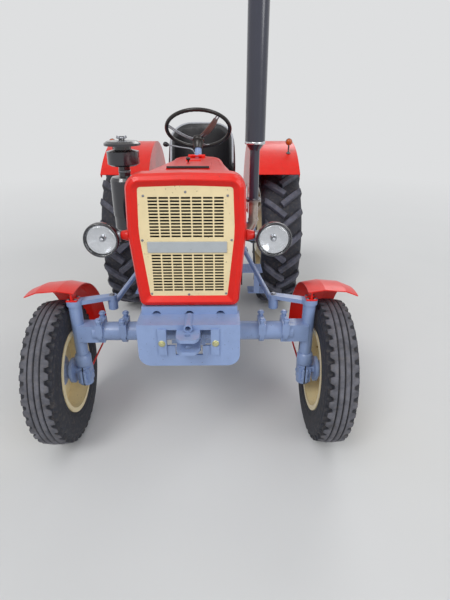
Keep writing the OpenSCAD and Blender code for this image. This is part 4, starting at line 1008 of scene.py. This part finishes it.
def wheel_place(side, centre, lean=0.0):
    """Frame of a wheel with Z along its axle, outwards."""
    axis = Vector((side * math.cos(lean), 0, -math.sin(lean)))
    return frame_at(Vector((side * centre.x, centre.y, centre.z)), axis)


class TRACTOR_OT_front_tyres(bpy.types.Operator):
    """Front tyres with three grooves, moulded sidewall rings and notched shoulder blocks"""
    bl_idname = "tractor.front_tyres"
    bl_label = "Front tyres"

    def execute(self, context):
        blocks, per = 40, 10
        walls = mm(204.5, 64, 216.5, 65.5, 218.8, 67.5, 222, 70.5, 232, 73.5, 242, 75.5, 244.5, 77.2,
                   248, 77.3, 251, 76.2, 264, 78.2, 279, 79.6, 292, 80, 307, 79.3, 318, 77.6,
                   320.5, 78.3, 324, 77.8, 327, 75.8, 335, 73.7)
        crown = mm(369.5, 34, 370, 32.2, 369.2, 31.2, 362, 30.4, 362, 23.6, 370.8, 22.8, 371.8, 22,
                   372, 13, 371.8, 5, 370.9, 4.2, 362, 3.5, 362, 0)

        def rows_at(i):
            phase = (i % per) / per
            edge = 0.0655 if phase < 0.45 else 0.0595 if phase < 0.55 else 0.0478
            slot = 0.012 if phase >= 0.65 else 0.0
            wide = max(edge - 0.05, 0)
            shoulder = [(0.3375, 0.0735), (0.341 - slot * 0.3, 0.0728 - slot * 0.35),
                        (0.3455 - slot * 0.4, edge + 0.0035), (0.3505 - slot * 0.2, edge + 0.0012),
                        (0.3645 - 0.07 * wide - slot * 0.3, edge),
                        (0.3672 - 0.05 * wide - slot * 0.3, edge - 0.0022), (0.3690, 0.0385)]
            return both_halves(walls + shoulder + crown)

        for side, label, short in SIDES:
            tyre = piece("front_tread_" + short,
                         ring_form(rows_at, blocks * per, wheel_place(side, FRONT_WHEEL, CAMBER)),
                         "front_rubber", "front_wheel_" + label)
            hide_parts("front_tyre_" + short)
        return {"FINISHED"}


LUG_END = 0.1495
LUG_TOP = mm(-20, 620, 50, 618.5, 90, 614.5, 120, 606, 138, 590, 149.5, 562)
LUG_FOOT = mm(-20, 580, 50, 579, 90, 573, 120, 556, 138, 540, 149.5, 500)


def between(table, x):
    """Value at x in a table of (x, value) rows."""
    for (x0, v0), (x1, v1) in zip(table, table[1:]):
        if x <= x1:
            return v0 + (v1 - v0) * max((x - x0) / (x1 - x0), 0)
    return table[-1][1]


def lug_part():
    """One tyre lug for the plus side, standing on top of the wheel, its foot inside the carcass."""
    lean, mid = math.radians(settings().lug_angle), 0.07
    c, s = math.cos(lean), math.sin(lean)
    half = [(0.0155, 1.0), (0.0185, 0.93), (0.0215, 0.55), (0.026, 0.0)]
    section = [(-v, k) for v, k in reversed(half)] + half
    rows = []
    for station in (-0.014, 0.0, 0.03, 0.06, 0.09, 0.112, 0.128, 0.138, 0.1455):
        u, row = (station - mid) / c, []
        for v, k in section:
            x, t = min(mid + u * c - v * s, LUG_END), u * s + v * c
            r = between(LUG_FOOT, x) + k * (between(LUG_TOP, x) - between(LUG_FOOT, x))
            row.append((x, t, math.sqrt(r * r - t * t)))
        rows.append(row)
    return skinned(rows, around=False, caps=-1, smooth=False)


class TRACTOR_OT_rear_tyres(bpy.types.Operator):
    """Rear tyres: ringed carcass and two rows of slanted lugs"""
    bl_idname = "tractor.rear_tyres"
    bl_label = "Rear tyres"

    def execute(self, context):
        walls = mm(358.5, 130, 371, 131.2, 373.8, 133, 379, 138.5, 390, 141.5, 396, 142.8, 399, 144.7,
                   404, 144.8, 407, 143.4, 425, 146.2, 450, 149, 474, 150, 498, 149, 514, 147.2,
                   517, 148.2, 521, 147.4, 524, 145.2, 540, 139.5, 555, 130, 567, 115, 577, 92,
                   583, 62, 585.5, 30, 586, 0)
        count = settings().lug_count
        lugs = twins(lug_part())
        for side, label, short in SIDES:
            rows = [ring_form(lambda i: both_halves(walls), 132, wheel_place(side, REAR_WHEEL))]
            for part, start in zip(lugs, (0.0, math.pi / count)):
                ring = run_tree(from_faces([(0, 0, 0)], []), TREES["ring"], Part=part, Count=count,
                                Start=start, Finish=FINISH["rear_rubber"])
                ring.data.transform(Matrix.Translation((side * REAR_WHEEL.x, REAR_WHEEL.y, REAR_WHEEL.z)))
                rows.append(ring)
            tyre = piece("rear_tread_" + short, rows, "rear_rubber", "rear_wheel_" + label)
            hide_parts("rear_tyre_" + short)
        for part in lugs:
            bpy.data.objects.remove(part)
        return {"FINISHED"}


class TRACTOR_OT_wheel_nuts(bpy.types.Operator):
    """Wheel nuts, hub caps and the valve stems"""
    bl_idname = "tractor.wheel_nuts"
    bl_label = "Wheel nuts"

    def execute(self, context):
        for side, label, short in SIDES:
            for end, centre, lean, count, ring, along, size, r, h, rim_r in (
                    ("front", FRONT_WHEEL, CAMBER, 6, 0.066, 0.0142, 0.0105, 0.030, 0.054, 0.19),
                    ("rear", REAR_WHEEL, 0.0, 8, 0.138, -0.1478, 0.0145, 0.062, -0.0895, 0.342)):
                place, body = wheel_place(side, centre, lean), f"{end}_wheel_{label}"
                on_points(f"{end}_wheel_nuts_{short}", ring_of(place, ring, count, size, along),
                          "hex", "steel", body)
                dome = [(r * k, h + dh / 1000) for k, dh in
                        ((1, -6), (1, 2), (0.94, 9), (0.7, 17), (0.3, 21), (0, 21.5))]
                piece(f"{end}_hub_cap_{short}", lathe(dome, place, 40), "grey", body)
                stem = [place @ Vector((rim_r - x, 0.02, z)) for x, z in mm(0, -5, 12, 12, 20, 32)]
                piece(f"{end}_valve_{short}", tube(stem, 0.0042, 10), "brass", body)
        return {"FINISHED"}


# Padded pieces


def plumped(obj, voxel=0.006, cap=0.008):
    """Swells a closed pad with air as cloth does, each point moving no further than the cap."""
    skin = obj.modifiers.new("skin", "REMESH")
    skin.mode = "VOXEL"
    skin.voxel_size = voxel
    applied(obj)
    rest = [v.co.copy() for v in obj.data.vertices]
    cloth = obj.modifiers.new("air", "CLOTH").settings
    cloth.quality = 5
    cloth.use_pressure = True
    cloth.uniform_pressure_force = 4.0
    cloth.effector_weights.gravity = 0.0
    for step in range(1, 21):
        bpy.context.scene.frame_set(step)
    applied(obj)
    for v, start in zip(obj.data.vertices, rest):
        move = v.co - start
        if move.length > cap:
            v.co = start + move * (cap / move.length)
    bpy.context.scene.frame_set(1)
    obj.data.polygons.foreach_set("use_smooth", [True] * len(obj.data.polygons))
    soft = obj.modifiers.new("soft", "SUBSURF")
    soft.levels = soft.render_levels = 1
    return applied(obj)


def swell(value, power):
    """The value under a power, its sign kept."""
    return math.copysign(abs(value) ** power, value)


def seat_path(count=60):
    """Rows along the wrap's middle line, front left round to front right: place, outward side, top."""
    lo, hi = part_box("seat_back")
    r, mid_y, front, arm = hi.x - 0.025, hi.y - hi.x, lo.y + 0.012, lo.z + 0.1
    straight, bend = mid_y - front, math.pi * r
    rows = []
    for i in range(count + 1):
        d = (2 * straight + bend) * i / count
        if d < straight:
            p, n = Vector((r, front + d, 0)), X.copy()
        elif d < straight + bend:
            n = polar(1, (d - straight) / r)
            p = Vector((0, mid_y, 0)) + r * n
        else:
            p, n = Vector((-r, mid_y - (d - straight - bend), 0)), -X
        reach = max(min((p.y - lo.y) / (mid_y + 0.05 - lo.y), 1.0), 0.0)
        shoulder = min(max((abs(p.x) - 0.09) / (r - 0.09), 0), 1)
        drop = settings().seat_shoulder * (1 - math.sqrt(1 - shoulder * shoulder))
        rows.append((p, n, arm + (hi.z - 0.01 - arm - drop) * reach * reach * (3 - 2 * reach)))
    return rows


def back_pad():
    """Wrap-round back as a thick closed band, thinning at its ends."""
    path, foot, rows = seat_path(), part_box("seat_back")[0].z + 0.006, []
    for i, (p, n, top) in enumerate(path):
        end = min(i, len(path) - 1 - i) / 3
        thick = 0.019 * (1 if end >= 1 else math.sqrt(max(1 - (1 - end) ** 2, 0.1)))
        mid, half = (foot + top) / 2, (top - foot) / 2
        rows.append([Vector((p.x, p.y, mid + half * swell(math.sin(a), 0.35)))
                     + n * (thick * swell(math.cos(a), 0.7)) for a in angles(20)])
    return skinned(rows, around=False, caps=1)


def cushion_pad():
    """Crowned cushion, square at the front and round behind, its sides drawn in below the seam."""
    lo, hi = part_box("seat_cushion")
    cy, foot, rise = (lo.y + hi.y) / 2 - 0.01, lo.z + 0.006, hi.z - lo.z - 0.008
    half_x, depth = hi.x - 0.011, (hi.y - lo.y) / 2 - 0.011
    rows = []
    for share, up in ((0, 1.0), (0.25, 0.995), (0.5, 0.975), (0.66, 0.94), (0.86, 0.88), (0.95, 0.76),
                      (1.0, 0.55), (0.995, 0.32), (0.97, 0.1), (0.9, 0.0), (0, 0.0)):
        row = []
        for a in angles(72):
            c, s = math.cos(a), math.sin(a)
            waist = 1 - (0.012 * math.cos(4 * a) if share > 0.9 else 0)
            x, y = half_x * swell(c, 0.5 if s < 0 else 0.85), depth * swell(s, 0.32 if s < 0 else 0.8)
            row.append((x * share * waist, cy + y * share * waist, foot + rise * up))
        rows.append(row)
    return skinned(rows, around=False)


def rested(obj, points, lift):
    """The points dropped straight down onto an object, evened out and raised by lift."""
    bm = bmesh.new()
    bm.from_mesh(obj.data)
    tree = BVHTree.FromBMesh(bm)
    bm.free()
    down = [tree.ray_cast(p, -Z)[0] or p for p in points]
    rows = [down[0]] + [(a + 2 * b + c) / 4 for a, b, c in zip(down, down[1:], down[2:])] + [down[-1]]
    return [p + lift * Z for p in rows]


class TRACTOR_OT_seat(bpy.types.Operator):
    """Padded cushion and arched wrap-round back, with a rolled edge, pale grey as a painted highlight"""
    bl_idname = "tractor.seat"
    bl_label = "Padded seat"

    def execute(self, context):
        back = piece("seat_back_pad", plumped(back_pad(), 0.0068, 0.006), "vinyl")
        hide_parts("seat_back")
        # rolled edge along the back's top and sides, pale grey as a painted highlight
        above = [Vector((p.x, p.y, top + 0.06)) + n * 0.003 for p, n, top in seat_path(90)[3:-3]]
        piece("seat_piping", tube(rested(back, above, 0.0022), 0.0082, 14, curved=False), "piping")
        pad = piece("seat_cushion_pad", plumped(cushion_pad()), "vinyl")
        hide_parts("seat_cushion")
        return {"FINISHED"}


# Steering wheel


def grip_ring(place):
    """The wheel's grip, its underside notched for the fingers."""
    grip_r, rows = settings().grip_radius, []
    for a in angles(168):
        row = []
        for b in angles(20):
            r = grip_r * (1 - 0.1 * max(-math.sin(b), 0) * (0.5 + 0.5 * math.cos(42 * a)))
            row.append(place @ polar(RIM_RADIUS + r * math.cos(b), a, RIM_HEIGHT + r * math.sin(b)))
        rows.append(row)
    return skinned(rows)


def spoke_cover(turn):
    """Moulded cover along a spoke."""
    rows = []
    for t in [i / 12 for i in range(13)]:
        x, z, w = 0.034 + 0.138 * t, 0.034 + 0.052 * t * t, 0.017 + 0.006 * math.sin(math.pi * t)
        rows.append([turn @ Vector((x, w * k, z + dz / 1000)) for k, dz in
                     ((-1, -1), (-0.9, 4), (-0.4, 7.2), (0.4, 7.2), (0.9, 4), (1, -1), (0.62, -5.8),
                      (-0.62, -5.8))])
    return skinned(rows, around=False, caps=-1)


class TRACTOR_OT_steering(bpy.types.Operator):
    """Steering wheel with its grip, spokes, hub and boot, and the throttle lever on the column"""
    bl_idname = "tractor.steering"
    bl_label = "Steering wheel"

    def execute(self, context):
        place, body = Matrix.Translation(COLUMN_TOP) @ Matrix.Rotation(-COLUMN_LEAN, 4, "X"), "steering_wheel"
        grip = piece("steering_grip", grip_ring(place), "grip", body)
        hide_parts("steering_wheel")
        turns = [place @ Matrix.Rotation(math.radians(a), 4, "Z") for a in (-48, 72, 192)]
        rise = mm(18, 26, 60, 32, 120, 56, 170, 85, 197, 99.5)
        spokes = [tube([turn @ Vector((x, off, z)) for x, z in rise], 0.0042, 10)
                  for turn in turns for off in (-0.009, 0.009)]
        piece("steering_spokes", spokes, "steel", body)
        piece("steering_spoke_cover", spoke_cover(turns[0]), "brown", body)
        hub = mm(0, 4, 24, 4, 36, 16, 37.5, 32, 34, 40, 28, 43.5, 26, 41.5, 12, 45, 0, 46)
        piece("steering_hub", lathe(hub, place, 48), "grip", body)
        boot = mm(23.8, 10, 23.8, -41, 26.2, -42, 27.5, -39, 32.5, -12, 34.5, 6, 33.5, 12, 23.8, 10)
        piece("steering_boot", lathe(boot, place, 40), "grip", body)
        collar = mm(22.5, -128, 29, -126, 31, -118, 31, -92, 28, -86, 22.5, -84, 22.5, -128)
        piece("column_collar", lathe(collar, place, 40), "grey")
        rod = route(-20, 1005, 1352, -45, 1035, 1376, -120, 1042, 1388, -196, 1045, 1402.5)
        piece("throttle_rod", tube(rod, 0.0048, 12), "steel")
        knob = lathe(mm(0, -2, 8, 0, 14.5, 10, 16, 20, 13.5, 30, 7, 36, 0, 37),
                     frame_at(at(-0.192, 1.045, 1.402), Vector((-1, 0.03, 0.18))), 28)
        piece("throttle_knob", knob, "knob")
        return {"FINISHED"}


# Stage


BACKDROP = srgb(222, 223, 224)
LAMPS = (  # name, kind, place, power, angle or size
    ("key", "SUN", (-2.6, -4.2, 5.4), 1.1, 0.4), ("fill", "SUN", (4.4, -4.2, 3.4), 0.95, 0.6),
    ("rim", "SUN", (2.2, 5.2, 4.6), 0.5, 0.5), ("strip", "AREA", (-0.6, -2.6, 4.4), 26, 2.2))


def laid_floor():
    """Pale paper that fades into the backdrop with distance."""
    floor = from_faces([(-60, -60, 0), (60, -60, 0), (60, 60, 0), (-60, 60, 0)], [(0, 1, 2, 3)])
    floor.name = floor.data.name = "floor"
    paper = Finish("floor_paper", roughness=0.92)
    paper.wear(base_color=paper.mix(paper.noise(1.5, 3), srgb(212, 212, 211), srgb(217, 217, 216)))
    glow = paper.add("Emission", {"Color": BACKDROP})
    away = paper.calc("DIVIDE", paper.radius((0, 0, 0), (1, 1, 0)), 20.0)
    away = paper.steps(away, (0.14, 0.0), (0.42, 1.0))
    rays = paper.add("LightPath").outputs
    seen = paper.calc("MAXIMUM", rays["Is Camera Ray"], rays["Is Glossy Ray"])
    blend = paper.add("MixShader", {0: paper.calc("MULTIPLY", away, seen), 1: paper.skin.outputs[0],
                                    2: glow.outputs[0]})
    paper.tree.links.new(blend.outputs[0], paper.out.inputs[0])
    floor.data.materials.append(paper.mat)
    return floor


def soft_sky():
    """World that lights softly and is the backdrop to camera, glossy and transmitted rays."""
    world = bpy.data.worlds.new("soft_sky")
    world.use_nodes = True
    tree = world.node_tree
    tree.nodes.clear()
    light = add_node(tree, "ShaderNodeBackground", {"Color": (0.93, 0.96, 1.0, 1), "Strength": 0.5})
    back = add_node(tree, "ShaderNodeBackground", {"Color": BACKDROP, "Strength": 1.0})
    rays = add_node(tree, "ShaderNodeLightPath").outputs
    seen = rays["Is Camera Ray"]
    for other in ("Is Transmission Ray", "Is Glossy Ray"):
        seen = add_node(tree, "ShaderNodeMath", {0: seen, 1: rays[other]}, operation="MAXIMUM").outputs[0]
    pick = add_node(tree, "ShaderNodeMixShader", {0: seen, 1: light.outputs[0], 2: back.outputs[0]})
    add_node(tree, "ShaderNodeOutputWorld", {0: pick.outputs[0]})
    return world


class TRACTOR_OT_stage(bpy.types.Operator):
    """Pale floor, soft lamps and the camera at the photograph's angle"""
    bl_idname = "tractor.stage"
    bl_label = "Stage"

    def execute(self, context):
        scene = context.scene
        laid_floor()
        scene.world = soft_sky()
        for name, kind, spot, power, size in LAMPS:
            lamp = bpy.data.lights.new(name, kind)
            setattr(lamp, "angle" if kind == "SUN" else "size", size)
            lamp.energy = power
            obj = bpy.data.objects.new(name, lamp)
            obj.location = spot
            obj.rotation_euler = (Vector((0, -0.3, 0.9)) - Vector(spot)).to_track_quat("-Z", "Y").to_euler()
            scene.collection.objects.link(obj)
        scene.view_settings.view_transform = "Standard"
        camera = bpy.data.cameras.new("photo_camera")
        camera.lens = 26.0
        camera.sensor_width = 36
        obj = bpy.data.objects.new("photo_camera", camera)
        obj.location = at(0.137, -1.929, 1.667)
        obj.rotation_euler = (math.radians(90 - CAMERA_DOWN), 0, math.radians(CAMERA_TURN))
        scene.collection.objects.link(obj)
        scene.camera = obj
        return {"FINISHED"}


class TRACTOR_PT_panel(bpy.types.Panel):
    """Lists the tractor's pieces in the order they are made"""
    bl_label = "Vintage tractor"
    bl_idname = "TRACTOR_PT_panel"
    bl_space_type = "VIEW_3D"
    bl_region_type = "UI"
    bl_category = "Tractor"

    def draw(self, context):
        column = self.layout.column()
        for name in TractorLooks.__annotations__:
            column.prop(context.scene.tractor_looks, name)
        for step in STEPS:
            column.operator(step.bl_idname)


STEPS = (TRACTOR_OT_finishes, TRACTOR_OT_parts, TRACTOR_OT_stage, TRACTOR_OT_front_tyres,
         TRACTOR_OT_rear_tyres, TRACTOR_OT_wheel_nuts, TRACTOR_OT_seat, TRACTOR_OT_steering,
         TRACTOR_OT_headlamps, TRACTOR_OT_nose_trim, TRACTOR_OT_hood_trim, TRACTOR_OT_signals,
         TRACTOR_OT_fasteners, TRACTOR_OT_knuckle_clamps, TRACTOR_OT_engine_pipes, TRACTOR_OT_drivers_place,
         TRACTOR_OT_fender_beads, TRACTOR_OT_hitch)
CLASSES = (TractorLooks,) + STEPS + (TRACTOR_PT_panel,)


def register():
    for c in CLASSES:
        bpy.utils.register_class(c)
    bpy.types.Scene.tractor_looks = bpy.props.PointerProperty(type=TractorLooks)


def unregister():
    del bpy.types.Scene.tractor_looks
    for c in reversed(CLASSES):
        bpy.utils.unregister_class(c)


def main():
    register()
    for step in STEPS:
        group, name = step.bl_idname.split(".")
        getattr(getattr(bpy.ops, group), name)()
    for part in PARTS.values():
        bpy.data.objects.remove(part)


if __name__ == "__main__":
    main()
